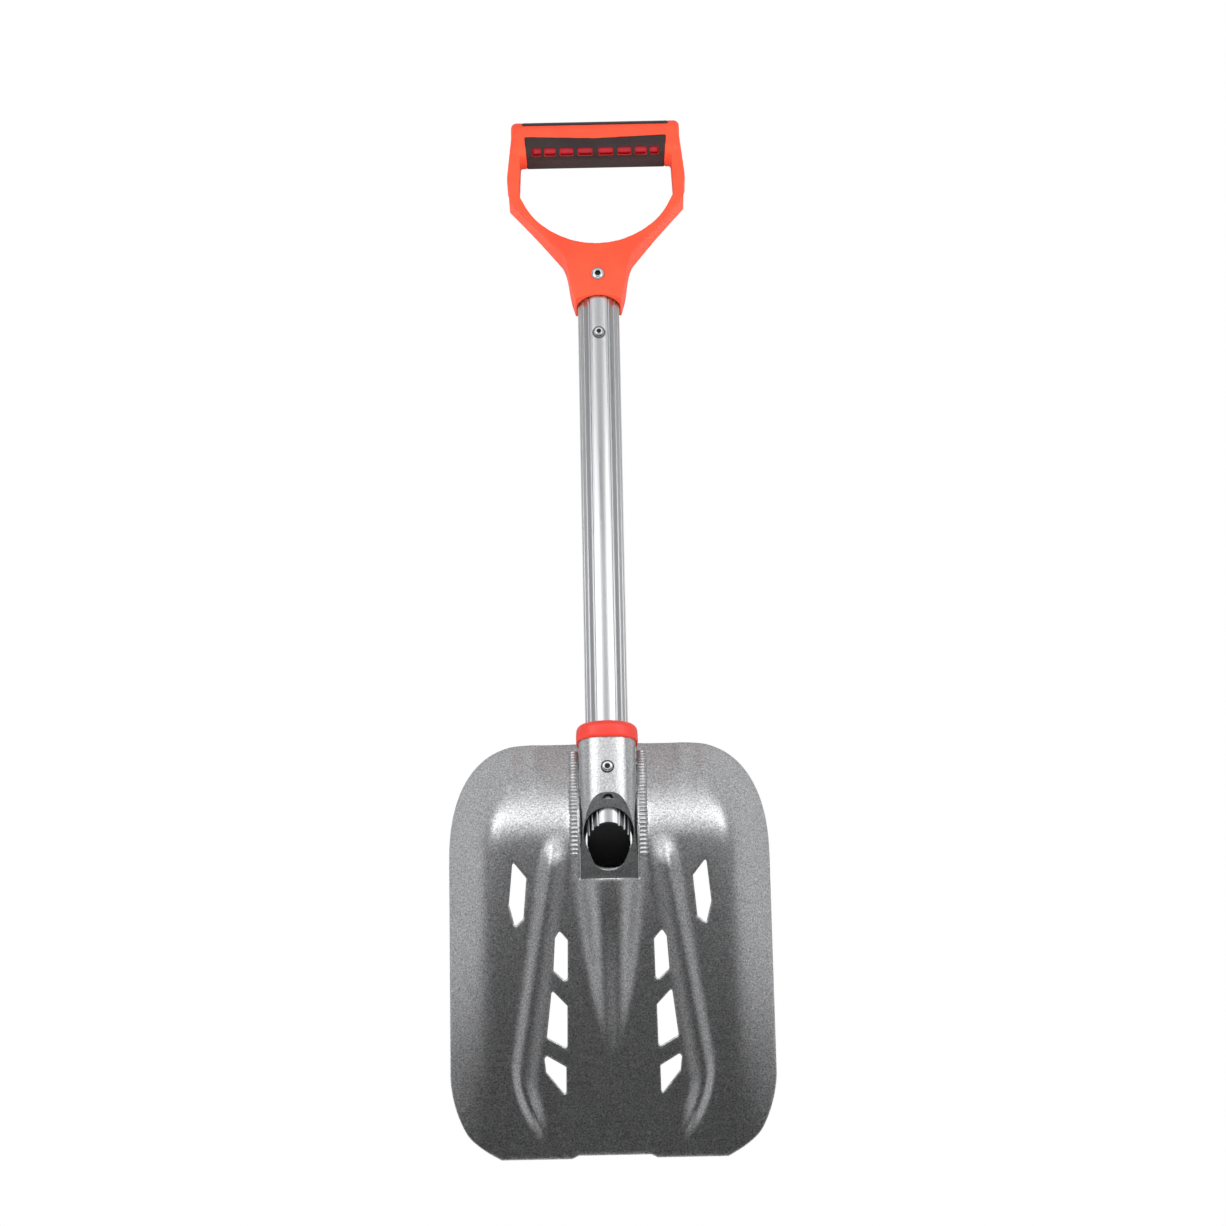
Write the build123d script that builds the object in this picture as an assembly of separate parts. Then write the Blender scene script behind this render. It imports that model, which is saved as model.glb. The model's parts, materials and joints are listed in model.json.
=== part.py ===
"""Camp shovel with a formed aluminium blade, a welded socket, a telescopic fluted shaft and a D-grip.

It lies face down as it is put down on a bench: the blade's rim and the grip bar touch the ground.
+X is across the blade, +Y runs from the cutting edge to the grip, +Z is up, out of the blade's back.
Two bench frames are used below. In the blade frame +Y runs up the flat panel from the cutting edge and
+Z is its back. In the shaft frame the origin is on the shaft's axis at the socket's mouth, +Y points to
the grip and +Z is the back. All sizes are in millimetres and all angles in degrees.
"""

from build123d import *
from math import atan2, ceil, cos, degrees, exp, hypot, pi, radians, sin, sqrt, tan
import os

# ---- Overall sizes ----
BLADE_WIDTH = 227.0
BLADE_LENGTH = 292.0
GRIP_REACH = 466.0  # from the socket's mouth to the middle of the grip bar
MOUTH_FROM_EDGE = 288.5  # from the cutting edge to the socket's mouth, along the ground
MOUTH_HEIGHT = 28.2  # of the shaft's axis above the ground, at the mouth
RIM_ANGLE = 9.5  # between the flat panel and the plane that the rim lies in
TELESCOPE_TRAVEL = 210.0
SHAFT_INSERTION_END = 84.0  # how deep the longer side of the bevelled shaft reaches into the socket

# ---- Blade sheet ----
SHEET = 2.0
FLAT_HALF_WIDTH = 55.0  # the side flange's curve starts here
TOP_CORNER_POWER = 2.35  # 2 is an ellipse, more is squarer
FLAT_LENGTH = 207.0  # the top flange's curve starts here
BEND_PLACE = 0.55  # where a side flange bends, as a share of the way from flat to rim
BEND_SOFTNESS = 0.12
TOP_ROLL_POWER = 2.0  # the top flange rolls over all the way: 2 is a parabola
CORNER_BLEND = 0.05  # above 0 the two flanges part softly where both begin
RIB_HEIGHT = 4.5  # the two long pressed ribs, each bent inwards at its lower end
RIB_OUTER_FLANK = 10.0
RIB_INNER_FLANK = 14.0
RIB_TOP = (36.5, 226.0)  # the crest's upper end, bend and lower end, on the right half
RIB_BEND = (65.5, 42.0)
RIB_FOOT = (45.0, 20.0)
RIB_BEND_RADIUS = 16.0
RIB_FADE = 26.0  # length of each end that sinks into the panel
SPINE_START = 68.0  # the spine's pointed end, from the cutting edge
SPINE_TAIL = 0.93  # half-width of the spine's arch, as a share of the socket's
SPINE_SQUARENESS = 3.2
SPINE_RISE = 0.75  # below 1 the spine rises early, above 1 late
SPINE_POINT = 0.05  # how blunt the pointed end is
TREAD_PLACES = (52.0, 69.0)  # the pressed step ribs of the top flange, each side
TREAD_WIDTH = 5.0
TREAD_HEIGHT = 1.8
TREAD_INNER_END = 0.45  # as a share of the way from flat to rim
TREAD_END_FADE = 0.4
TREAD_RISE = 40.0  # length over which they rise from the flat panel
EDGE_STEP = 2.2  # the middle of the cutting edge stands back this far between its two lobes
EDGE_STEP_HALF_WIDTH = 25.0
EDGE_HALF_WIDTH = 78.0
CORNER_RISE = 60.0  # height of the trimmed lower corners
CORNER_BULGE = 0.9  # 0 is a straight trim, 1 a full quarter ellipse
SLOT_CORNER = 0.7  # radius of the weight-saving slots' corners
SURFACE_TOLERANCE = 0.03
GRID_STEP = 4.0  # spacing of the points that the sheet's surface passes through

# ---- Shaft section (an oval, fluted on both flanks) ----
SHAFT_WIDTH = 30.2
SHAFT_DEPTH = 27.0
SHAFT_WALL = 2.0
FLUTES_PER_SIDE = 8
FLUTE_FIRST_ANGLE = 29.0  # from the middle of the back
FLUTE_RADIUS = 1.0
FLUTE_DEPTH = 0.9
BEVEL_RISE = 23.3  # the shaft's lower end is cut off this much shorter on the back

# ---- Socket, liner and collar ----
SOCKET_LENGTH = 99.0
SOCKET_WALL = 2.3
LINER_WALL = 2.4
SQUARENESS = 2.8  # of the socket's rounded-square section
SHAFT_CLEARANCE = 0.25
SEAT_CLEARANCE = 0.05
LINER_LENGTH = 38.0
COLLAR_LENGTH = 13.0
COLLAR_LIP = 1.6  # how far the collar stands out past the socket
COLLAR_TOP_WALL = 1.4
COLLAR_STRAIGHT = 7.0
FACET_START = 40.4  # from the mouth down to the start of the slanted flat
FACET_DROP = 15.0  # how deep the flat is at the socket's lower end
WINDOW_TOP = 6.7  # from the start of the flat to the window
WINDOW_LENGTH = 44.3
WINDOW_TOP_RADIUS = 17.6
WINDOW_LOW_RADIUS = 12.8
FRONT_WAY_GAP = 1.2  # around the shaft in the way through the socket's front
NOTCH_RADIUS = 4.2
NOTCH_LENGTH = 3.6
NOTCH_START = 1.0  # from the start of the flat
WELD_RADIUS = 3.1
WELD_GAP = 0.9  # between the sheet's edge and the socket
WELD_OUT = 1.2  # of the bead's middle from the sheet's edge
WELD_UP = 0.6
WELD_POINTS = 7
WELD_LOW = 18.0  # welds stop this far above the socket's lower end
WELD_HIGH = 8.0  # and this far under the mouth

# ---- Telescope ----
TUBE_WALL = 1.5
TUBE_CLEARANCE = 0.2
TUBE_OVERLAP = 75.0  # tube left inside the shaft at full length
GUIDE_LENGTH = 14.0
GUIDE_CLEARANCE = 0.08
PLUG_INSERT = 24.0
PLUG_CAP = 1.4  # thickness of the cap over the shaft's cut end

# ---- Spring buttons ----
LOCK_BUTTON_RADIUS = 4.3
LOCK_BUTTON_AT = -22.0  # along the shaft, from the mouth
LOCK_BUTTON_PROUD = 1.9
LOCK_HOLE_GAP = 0.35
LENGTH_BUTTON_RADIUS = 3.8
LENGTH_BUTTON_AT = 309.0
LENGTH_BUTTON_PROUD = 3.0
LENGTH_HOLE_GAP = 0.9
BUTTON_GAP = 0.15  # around a button in the hole that guides it
BUTTON_CHAMFER = 0.7
DIMPLE_SHARE = 0.45  # of the button's radius
DIMPLE_DEPTH = 0.5
FLANGE_EXTRA = 1.3
FLANGE_THICK = 1.2
LEAF_THICK = 0.6
LEAF_WIDTH = 8.0
LEAF_LENGTH = 34.0  # from the button's middle to the fold
LEAF_BEHIND = 6.0  # how far it reaches past the button's middle the other way
ROOF_GAP = 0.1  # between a button's flange and the roof of the tube over it
PRESSED_GAP = 0.2  # a pressed button clears what slides over it by this much

# ---- D-grip ----
NECK_WALL = 1.6  # beside the shaft, at the neck's mouth
NECK_DEPTH_WALL = 3.0  # in front of and behind it
NECK_EDGE_AT = 338.0  # the middle of the neck's saddle-shaped mouth
SADDLE_DEPTH = 4.0
SHAFT_END_IN_NECK = 8.0
SCREW_AT = 354.5
TUBE_END_IN_NECK = 28.0
GRIP_HALF_WIDTH = 62.4
GRIP_SIZE = 30.0
GRIP_CORNER = 9.0
GRIP_END_ROUND = 4.0
HAND_HOLE_HALF_WIDTH = 57.0
HAND_HOLE_BOTTOM = 381.0
HAND_HOLE_SIDE_AT = 421.0  # where the hole's straight sides begin
HAND_HOLE_BOWL = ((0.46, 6.5), (0.81, 22.0))  # share of the half-width, height over the bottom
HAND_HOLE_DRAFT = 1.5  # how much narrower it is at the grip bar
SHOULDER_AT = 416.5  # the D's lower outer corners
SHOULDER_HALF_WIDTH = 64.4
STEP_AT = 428.0  # the small step in each arm's outer side
STEP = 1.3
NECK_FLARE = 2.0  # how much wider the neck is where its saddle ends
NECK_WAIST_AT = 372.5
NECK_WAIST_HALF_WIDTH = 26.5
ARM_DEPTH = 20.0
PAD_THICK = 2.0
PAD_HALF_WIDTH = 52.5
PAD_TAPER = 3.0
PAD_EDGE_ABOVE_MIDDLE = -1.6
TOP_PAD_BELOW_TOP = 5.0
WINDOW_PITCHES = (7.6, 21.4, 33.6, 43.6)
WINDOW_WIDTHS = (11.0, 10.2, 8.8, 6.6)
WINDOW_HEIGHT = 6.6
WINDOW_POCKET = 7.0
WINDOW_TILT = 42.0  # the windows look out of the bar's lower back corner
SCREW_HEAD_RADIUS = 5.1
SCREW_HEAD_HEIGHT = 2.2
SCREW_SHANK_RADIUS = 2.5
SCREW_HEX = 1.6
NUT_RADIUS = 3.4
SCREW_GAP = 0.1
SCREW_HEAD_SINK = 1.2  # depth of the seats of the screw's and the nut's heads
SCREW_HEAD_GAP = 0.2
SCREW_HEAD_CHAMFER = 1.2
SCREW_HEX_DEPTH = 1.7

# ---- Sizes that follow from those above ----
SHAFT_A, SHAFT_B = SHAFT_WIDTH / 2, SHAFT_DEPTH / 2
SOCKET_A = SHAFT_A + SHAFT_CLEARANCE + LINER_WALL + SEAT_CLEARANCE + SOCKET_WALL
SOCKET_B = SHAFT_B + SHAFT_CLEARANCE + LINER_WALL + SEAT_CLEARANCE + SOCKET_WALL
BORE_A, BORE_B = SHAFT_A - SHAFT_WALL, SHAFT_B - SHAFT_WALL
TUBE_A, TUBE_B = BORE_A - TUBE_CLEARANCE, BORE_B - TUBE_CLEARANCE
TUBE_BORE_A, TUBE_BORE_B = TUBE_A - TUBE_WALL, TUBE_B - TUBE_WALL
SHAFT_TOP = NECK_EDGE_AT + SHAFT_END_IN_NECK
TUBE_TOP = NECK_EDGE_AT + TUBE_END_IN_NECK
TUBE_BOTTOM = SHAFT_TOP - TELESCOPE_TRAVEL - TUBE_OVERLAP
EXTENSION_BUTTON_AT = LENGTH_BUTTON_AT - TELESCOPE_TRAVEL
BEVEL_BACK = SHAFT_INSERTION_END - BEVEL_RISE
SHAFT_SLOPE = degrees(atan2(MOUTH_HEIGHT - GRIP_SIZE / 2, GRIP_REACH))
LOCK_FLANGE = LOCK_BUTTON_RADIUS + FLANGE_EXTRA
LENGTH_FLANGE = LENGTH_BUTTON_RADIUS + FLANGE_EXTRA
SLOT_HALF_WIDTH = SOCKET_A + WELD_GAP
SOCKET_END_ON_BLADE = (MOUTH_FROM_EDGE - SOCKET_LENGTH) / cos(radians(RIM_ANGLE))
NECK_A = SHAFT_A + SHAFT_CLEARANCE + NECK_WALL
NECK_B = SHAFT_B + SHAFT_CLEARANCE + NECK_DEPTH_WALL


# ---- Helpers ----
def roof_over(reach, a, b):
    """Height of an oval bore's roof, that far to the side of its middle."""
    return b * sqrt(1 - (reach / a) ** 2)


def smooth_step(t):
    """0 below 0, 1 above 1, and a smooth rise in between."""
    t = min(1.0, max(0.0, t))
    return t * t * (3 - 2 * t)


def soft_ramp(t):
    """0 well below 0 and t well above it, with a rounded bend."""
    return (t + sqrt(t * t + BEND_SOFTNESS**2)) / 2


def oval(a, b):
    """An ellipse across the shaft, drawn in the XZ plane."""
    return Plane.XZ * Ellipse(a, b)


def squircle(a, b):
    """The socket's rounded-square section, drawn in the XZ plane."""
    count = 32
    points = []
    for i in range(count):
        t = 2 * pi * i / count
        c, s = cos(t), sin(t)
        x = a * (1 if c >= 0 else -1) * abs(c) ** (2 / SQUARENESS)
        z = b * (1 if s >= 0 else -1) * abs(s) ** (2 / SQUARENESS)
        points.append((x, 0, z))
    return make_face(Spline(points, periodic=True))


def along_shaft(section, start, end):
    """A section of the XZ plane extruded along the shaft, from start to end."""
    return Pos(0, start, 0) * extrude(section, amount=end - start, dir=(0, 1, 0))


def upright(radius, at, low, high):
    """A round bar square to the shaft, from low to high."""
    return Pos(0, at, (low + high) / 2) * Cylinder(radius, high - low)


def in_plane_polygon(points):
    """A closed face through points of the XY plane."""
    return make_face(Polyline(*[(x, y, 0) for x, y in points], close=True))


def mirrored(shape):
    return mirror(shape, about=Plane.YZ)


# ---- Blade ----
def socket_back_above_panel(v):
    """Height of the socket's back line over the flat panel at v, which the spine carries on."""
    slope = tan(radians(RIM_ANGLE + SHAFT_SLOPE))
    end = SOCKET_END_ON_BLADE
    ground = end * cos(radians(RIM_ANGLE))
    axis = MOUTH_HEIGHT + (MOUTH_FROM_EDGE - ground) * tan(radians(SHAFT_SLOPE))
    panel = SHEET * cos(radians(RIM_ANGLE)) + end * sin(radians(RIM_ANGLE))
    return (axis + SOCKET_B - panel) / cos(radians(RIM_ANGLE)) - (v - end) * slope


def flange_parts(x, v):
    """How far a point is into the side flange and into the top flange, each powered for the corner."""
    across = max(0.0, abs(x) - FLAT_HALF_WIDTH) / (BLADE_WIDTH / 2 - FLAT_HALF_WIDTH)
    along = max(0.0, v - FLAT_LENGTH) / (BLADE_LENGTH - FLAT_LENGTH)
    return across**TOP_CORNER_POWER, along**TOP_CORNER_POWER


def flange_share(x, v):
    """0 on the flat panel and 1 on the rim's outline."""
    return sum(flange_parts(x, v)) ** (1 / TOP_CORNER_POWER)


def flange_fall(x, v):
    """How far down to the rim the sheet has come: 0 on the panel, 1 on the rim."""
    across, along = flange_parts(x, v)
    share = flange_share(x, v)
    bent = soft_ramp(share - BEND_PLACE) / soft_ramp(1 - BEND_PLACE)
    rolled = share**TOP_ROLL_POWER
    towards_top = smooth_step(along / (across + along + CORNER_BLEND))
    return bent + (rolled - bent) * towards_top


def outside_line(point, start, end):
    """Distance of a point from a line, positive on the line's right-hand side."""
    run, rise = end[0] - start[0], end[1] - start[1]
    return ((point[0] - start[0]) * rise - (point[1] - start[1]) * run) / hypot(run, rise)


def rib_height(x, v):
    """Height of the bent rib over the panel: a crest with an outer and an inner flank."""
    place = (abs(x), v)
    beside = outside_line(place, RIB_BEND, RIB_TOP) + RIB_BEND_RADIUS
    under = outside_line(place, RIB_FOOT, RIB_BEND) + RIB_BEND_RADIUS
    outwards = hypot(max(beside, 0), max(under, 0)) + min(max(beside, under), 0) - RIB_BEND_RADIUS
    flank = RIB_OUTER_FLANK if outwards > 0 else RIB_INNER_FLANK
    upper_end = smooth_step((RIB_TOP[1] - v) / RIB_FADE)
    lower_end = smooth_step((abs(x) - RIB_FOOT[0]) / RIB_FADE * 2 + max(0, (v - RIB_BEND[1]) / RIB_FADE))
    return RIB_HEIGHT * upper_end * lower_end * (1 - smooth_step(abs(outwards) / flank))


def back_height(x, v):
    """Height of the sheet's back surface over the flat panel's plane."""
    height = -flange_fall(x, v) * max(v, 0.0) * tan(radians(RIM_ANGLE))
    height += rib_height(x, v)
    end = SOCKET_END_ON_BLADE
    rise = min(1.0, max(0.0, (v - SPINE_START) / (end - SPINE_START)))
    crest = socket_back_above_panel(end) * smooth_step(rise) ** SPINE_RISE
    half = SOCKET_A * max(sqrt(rise), SPINE_POINT)
    height += crest * exp(-((abs(x) / (SPINE_TAIL * half)) ** SPINE_SQUARENESS))
    top = smooth_step((flange_share(x, v) - TREAD_INNER_END) / TREAD_END_FADE)
    top *= smooth_step((v - FLAT_LENGTH) / TREAD_RISE)
    for place in TREAD_PLACES:
        height += TREAD_HEIGHT * top * exp(-(((abs(x) - place) / TREAD_WIDTH) ** 2))
    return height


def sheet_point(x, v, depth):
    """A point depth under the sheet's back surface, measured square to it."""
    h = 0.5
    slope_x = (back_height(x + h, v) - back_height(x - h, v)) / (2 * h)
    slope_v = (back_height(x, v + h) - back_height(x, v - h)) / (2 * h)
    n = sqrt(slope_x**2 + slope_v**2 + 1)
    z = back_height(x, v)
    return (x + depth * slope_x / n, v + depth * slope_v / n, z - depth / n)


def formed_sheet():
    """The pressed sheet before trimming: two surfaces a sheet's thickness apart and four edges."""
    margin = 2 * GRID_STEP
    wide = BLADE_WIDTH / 2 + margin
    columns = 2 * ceil(wide / GRID_STEP) + 1
    rows = ceil((BLADE_LENGTH + 2 * margin) / GRID_STEP) + 1
    xs = [-wide + 2 * wide * i / (columns - 1) for i in range(columns)]
    vs = [-margin + (BLADE_LENGTH + 2 * margin) * j / (rows - 1) for j in range(rows)]
    faces = []
    for depth in (0.0, SHEET):
        grid = [[sheet_point(x, v, depth) for v in vs] for x in xs]
        faces.append(Face.make_surface_from_array_of_points(grid, tol=SURFACE_TOLERANCE, min_deg=3, max_deg=5))
    back, front = faces
    sides = []
    for one in back.edges():
        other = min(front.edges(), key=lambda e: (e.center() - one.center()).length)
        sides.append(Face.make_surface_from_curves(one, other))
    return Solid(Shell([back, front, *sides]))


def blade_outline():
    """The trimmed outline seen from the back, as a face in the XY plane."""
    half = BLADE_WIDTH / 2
    corner_x, corner_y = half - FLAT_HALF_WIDTH, BLADE_LENGTH - FLAT_LENGTH
    diagonal = 0.5 ** (1 / TOP_CORNER_POWER)
    trim = half - EDGE_HALF_WIDTH
    bulge = (1 - CORNER_BULGE) / 2 + CORNER_BULGE * (1 - cos(pi / 4))
    middle = (half - trim * bulge, CORNER_RISE * bulge)
    lobe = EDGE_STEP
    edge = Polyline(
        (0, lobe),
        (EDGE_STEP_HALF_WIDTH, lobe),
        (EDGE_STEP_HALF_WIDTH + 2 * lobe, 0),
        (EDGE_HALF_WIDTH, 0),
    )
    corner = Spline(
        (EDGE_HALF_WIDTH, 0),
        middle,
        (half, CORNER_RISE),
        tangents=[(trim, 0.55 * CORNER_RISE), (0, 1)],
    )
    side = Line((half, CORNER_RISE), (half, FLAT_LENGTH))
    top_corner = Spline(
        (half, FLAT_LENGTH),
        (FLAT_HALF_WIDTH + diagonal * corner_x, FLAT_LENGTH + diagonal * corner_y),
        (FLAT_HALF_WIDTH, BLADE_LENGTH),
        tangents=[(0, 1), (-1, 0)],
    )
    top = Line((FLAT_HALF_WIDTH, BLADE_LENGTH), (0, BLADE_LENGTH))
    middle_line = Line((0, BLADE_LENGTH), (0, lobe))
    right = make_face([edge, corner, side, top_corner, top, middle_line])
    return right + mirrored(right)


def slot_corners():
    """Corners of the four slots of the right half, top outer one first, then down the channel."""
    return [
        [(58.0, 194.0), (67.5, 206.0), (70.5, 176.0), (66.5, 160.5), (60.5, 166.0)],
        [(30.0, 150.5), (35.5, 157.0), (38.5, 152.0), (40.0, 129.5), (32.5, 122.5), (30.5, 124.0)],
        [(31.0, 105.0), (41.5, 116.0), (45.5, 83.5), (33.0, 76.5), (31.5, 78.0)],
        [(32.5, 63.0), (46.0, 71.0), (47.5, 69.0), (46.5, 60.0), (34.0, 44.5), (32.8, 46.0)],
    ]


def slot_prisms():
    """The eight slots as upright prisms, with rounded corners."""
    prisms = []
    for corners in slot_corners():
        face = in_plane_polygon(corners)
        face = fillet(face.vertices(), radius=SLOT_CORNER)
        prism = Pos(0, 0, -80) * extrude(face, amount=160)
        prisms += [prism, mirrored(prism)]
    return prisms


def make_blade():
    """Blade frame: the sheet trimmed to its outline, with the slots and the socket's cut-out."""
    cut_length = BLADE_LENGTH - SOCKET_END_ON_BLADE + 20
    cut_middle = SOCKET_END_ON_BLADE + cut_length / 2
    cut_out = Pos(0, cut_middle, 0) * Box(2 * SLOT_HALF_WIDTH, cut_length, 200)
    below = Pos(0, BLADE_LENGTH / 2, -100) * Box(400, 600, 200)
    ground = Pos(0, 0, -SHEET) * (Rot(-RIM_ANGLE, 0, 0) * below)
    trimmed = formed_sheet() & Pos(0, 0, -100) * extrude(blade_outline(), amount=200)
    blade = trimmed - [*slot_prisms(), cut_out] - ground
    return blade.solids().sort_by(SortBy.VOLUME)[-1]


# ---- Socket ----
def facet_cutter(below):
    """Everything on the back side of the slanted flat, moved below by that much."""
    slope = degrees(atan2(FACET_DROP, SOCKET_LENGTH - FACET_START))
    block = Pos(0, 0, 50) * Box(120, 400, 100)
    return Pos(0, -FACET_START, SOCKET_B - below) * (Rot(slope, 0, 0) * block)


def window_face():
    """The window's egg-shaped outline, centred between its two ends."""
    top = Pos(0, WINDOW_LENGTH / 2 - WINDOW_TOP_RADIUS) * Circle(WINDOW_TOP_RADIUS)
    low = Pos(0, WINDOW_LOW_RADIUS - WINDOW_LENGTH / 2) * Circle(WINDOW_LOW_RADIUS)
    return make_hull([*top.edges(), *low.edges()])


def make_socket():
    """Shaft frame: the welded socket tube with its slanted flat, window and button holes."""
    bore_a, bore_b = SOCKET_A - SOCKET_WALL, SOCKET_B - SOCKET_WALL
    outer = along_shaft(squircle(SOCKET_A, SOCKET_B), -SOCKET_LENGTH, 0) - facet_cutter(0)
    bore = along_shaft(squircle(bore_a, bore_b), -SOCKET_LENGTH - 1, 1) - facet_cutter(SOCKET_WALL)
    slope = degrees(atan2(FACET_DROP, SOCKET_LENGTH - FACET_START))
    middle = FACET_START + WINDOW_TOP + WINDOW_LENGTH / 2
    on_facet = Pos(0, -middle, 0) * Rot(slope, 0, 0)
    window = on_facet * extrude(window_face(), amount=60)
    # The shaft's end passes through the front here when the blade is turned to a hoe.
    front = on_facet * extrude(Ellipse(SHAFT_A + FRONT_WAY_GAP, SHAFT_B + FRONT_WAY_GAP), amount=-60)
    button_hole = upright(LOCK_BUTTON_RADIUS + LOCK_HOLE_GAP, LOCK_BUTTON_AT, 0, SOCKET_B + 5)
    notch_at = -FACET_START - NOTCH_START
    notch = upright(NOTCH_RADIUS, notch_at - NOTCH_RADIUS, SOCKET_B / 2, SOCKET_B + 5)
    notch &= Pos(0, notch_at - NOTCH_LENGTH / 2, SOCKET_B) * Box(20, NOTCH_LENGTH, 30)
    return outer - [bore, window, front, button_hole, notch]


def make_collar():
    """Shaft frame: the plastic liner in the socket and its collar over the mouth, one moulding."""
    seat_a = SOCKET_A - SOCKET_WALL - SEAT_CLEARANCE
    seat_b = SOCKET_B - SOCKET_WALL - SEAT_CLEARANCE
    lip_a, lip_b = SOCKET_A + COLLAR_LIP, SOCKET_B + COLLAR_LIP
    top_a = SHAFT_A + SHAFT_CLEARANCE + COLLAR_TOP_WALL
    top_b = SHAFT_B + SHAFT_CLEARANCE + COLLAR_TOP_WALL
    liner = along_shaft(squircle(seat_a, seat_b), -LINER_LENGTH, 0)
    base = along_shaft(squircle(lip_a, lip_b), 0, COLLAR_STRAIGHT)
    cap = loft([
        Pos(0, COLLAR_STRAIGHT, 0) * squircle(lip_a, lip_b),
        Pos(0, COLLAR_LENGTH, 0) * squircle(top_a, top_b),
    ])
    collar = liner + base + cap
    way = oval(SHAFT_A + SHAFT_CLEARANCE, SHAFT_B + SHAFT_CLEARANCE)
    way = along_shaft(way, -LINER_LENGTH - 1, COLLAR_LENGTH + 1)
    collar -= way
    collar -= upright(LOCK_BUTTON_RADIUS + LOCK_HOLE_GAP, LOCK_BUTTON_AT, 0, SOCKET_B)
    return collar.solids().sort_by(SortBy.VOLUME)[-1]


def weld_path():
    """Points in the blade frame along the right-hand seam between the sheet and the socket."""
    low = SOCKET_END_ON_BLADE + WELD_LOW
    high = BLADE_LENGTH - WELD_HIGH
    x = SLOT_HALF_WIDTH + WELD_OUT
    points = []
    for i in range(WELD_POINTS):
        v = low + (high - low) * i / (WELD_POINTS - 1)
        points.append((x, v, back_height(x, v) + WELD_UP))
    return points


# ---- Shaft ----
def fluted_section(a, b):
    """The shaft's outer oval with a row of small grooves on each flank."""
    section = Ellipse(a, b)
    last = 180 - FLUTE_FIRST_ANGLE
    for i in range(FLUTES_PER_SIDE):
        angle = radians(FLUTE_FIRST_ANGLE + (last - FLUTE_FIRST_ANGLE) * i / (FLUTES_PER_SIDE - 1))
        x, y = a * sin(angle), b * cos(angle)
        out = Vector(x / a**2, y / b**2).normalized() * (FLUTE_RADIUS - FLUTE_DEPTH)
        for side in (1, -1):
            section -= Pos(side * (x + out.X), y + out.Y) * Circle(FLUTE_RADIUS)
    return Plane.XZ * section


def bevel_cutter(shorter):
    """Everything past the shaft's bevelled end, with the end moved inwards by shorter."""
    angle = degrees(atan2(BEVEL_RISE, SHAFT_DEPTH))
    block = Pos(0, -100, 0) * Box(100, 200, 200)
    middle = -(SHAFT_INSERTION_END + BEVEL_BACK) / 2 + shorter
    return Pos(0, middle, 0) * (Rot(-angle, 0, 0) * block)


def make_shaft():
    """Shaft frame: the fluted lower tube, bevelled at the end that goes into the socket."""
    shaft = along_shaft(fluted_section(SHAFT_A, SHAFT_B), -SHAFT_INSERTION_END - 4, SHAFT_TOP)
    shaft -= along_shaft(oval(BORE_A, BORE_B), -SHAFT_INSERTION_END - 5, SHAFT_TOP + 1)
    shaft -= bevel_cutter(0)
    shaft -= upright(LOCK_BUTTON_RADIUS + BUTTON_GAP, LOCK_BUTTON_AT, 0, SHAFT_B + 5)
    shaft -= upright(LENGTH_BUTTON_RADIUS + LENGTH_HOLE_GAP, LENGTH_BUTTON_AT, 0, SHAFT_B + 5)
    return shaft.solids().sort_by(SortBy.VOLUME)[-1]


def make_end_plug():
    """Shaft frame: the plastic plug in the bevelled end, with a cap over the cut wall."""
    insert_top = PLUG_INSERT - BEVEL_BACK
    low = -SHAFT_INSERTION_END - 8
    stem = along_shaft(oval(BORE_A - SEAT_CLEARANCE, BORE_B - SEAT_CLEARANCE), low, insert_top)
    hollow = along_shaft(oval(BORE_A - 2.5, BORE_B - 2.5), 3 - BEVEL_BACK, insert_top + 1)
    cap = along_shaft(fluted_section(SHAFT_A, SHAFT_B), low, 0)
    beyond_wall = cap - bevel_cutter(-PLUG_CAP) & bevel_cutter(0)
    plug = (stem - hollow - bevel_cutter(-PLUG_CAP)) + beyond_wall
    return plug.solids().sort_by(SortBy.VOLUME)[-1]


# ---- Telescoping tube ----
def make_inner_tube():
    """Shaft frame: the plain upper tube that slides in the shaft and carries the D-grip."""
    tube = along_shaft(oval(TUBE_A, TUBE_B), TUBE_BOTTOM, TUBE_TOP)
    tube -= along_shaft(oval(TUBE_BORE_A, TUBE_BORE_B), TUBE_BOTTOM - 1, TUBE_TOP + 1)
    for at in (LENGTH_BUTTON_AT, EXTENSION_BUTTON_AT):
        tube -= upright(LENGTH_BUTTON_RADIUS + BUTTON_GAP, at, 0, SHAFT_B)
    tube -= upright(NUT_RADIUS + SCREW_GAP, SCREW_AT, -SHAFT_B, SHAFT_B)
    return tube


def make_tube_guide():
    """Shaft frame: the plastic plug at the inner tube's lower end, which centres it in the shaft."""
    low, high = TUBE_BOTTOM - GUIDE_LENGTH / 2, TUBE_BOTTOM + GUIDE_LENGTH
    head = oval(BORE_A - GUIDE_CLEARANCE, BORE_B - GUIDE_CLEARANCE)
    stem = oval(TUBE_BORE_A - SEAT_CLEARANCE, TUBE_BORE_B - SEAT_CLEARANCE)
    hole = oval(TUBE_BORE_A - 2.5, TUBE_BORE_B - 2.5)
    guide = along_shaft(head, low, TUBE_BOTTOM) + along_shaft(stem, TUBE_BOTTOM, high)
    return guide - along_shaft(hole, low - 1, high + 1)


# ---- Spring buttons ----
def make_button(radius, at, top, under_wall):
    """A spring button: a pin with a softened rim, and a flange that stops it under the tube's wall."""
    pin = upright(radius, at, under_wall - FLANGE_THICK, top)
    pin = chamfer(pin.edges().group_by(Axis.Z)[-1], length=BUTTON_CHAMFER)
    flange = upright(radius + FLANGE_EXTRA, at, under_wall - FLANGE_THICK, under_wall)
    dimple = upright(radius * DIMPLE_SHARE, at, top - DIMPLE_DEPTH, top + 1)
    return pin + flange - dimple


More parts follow.
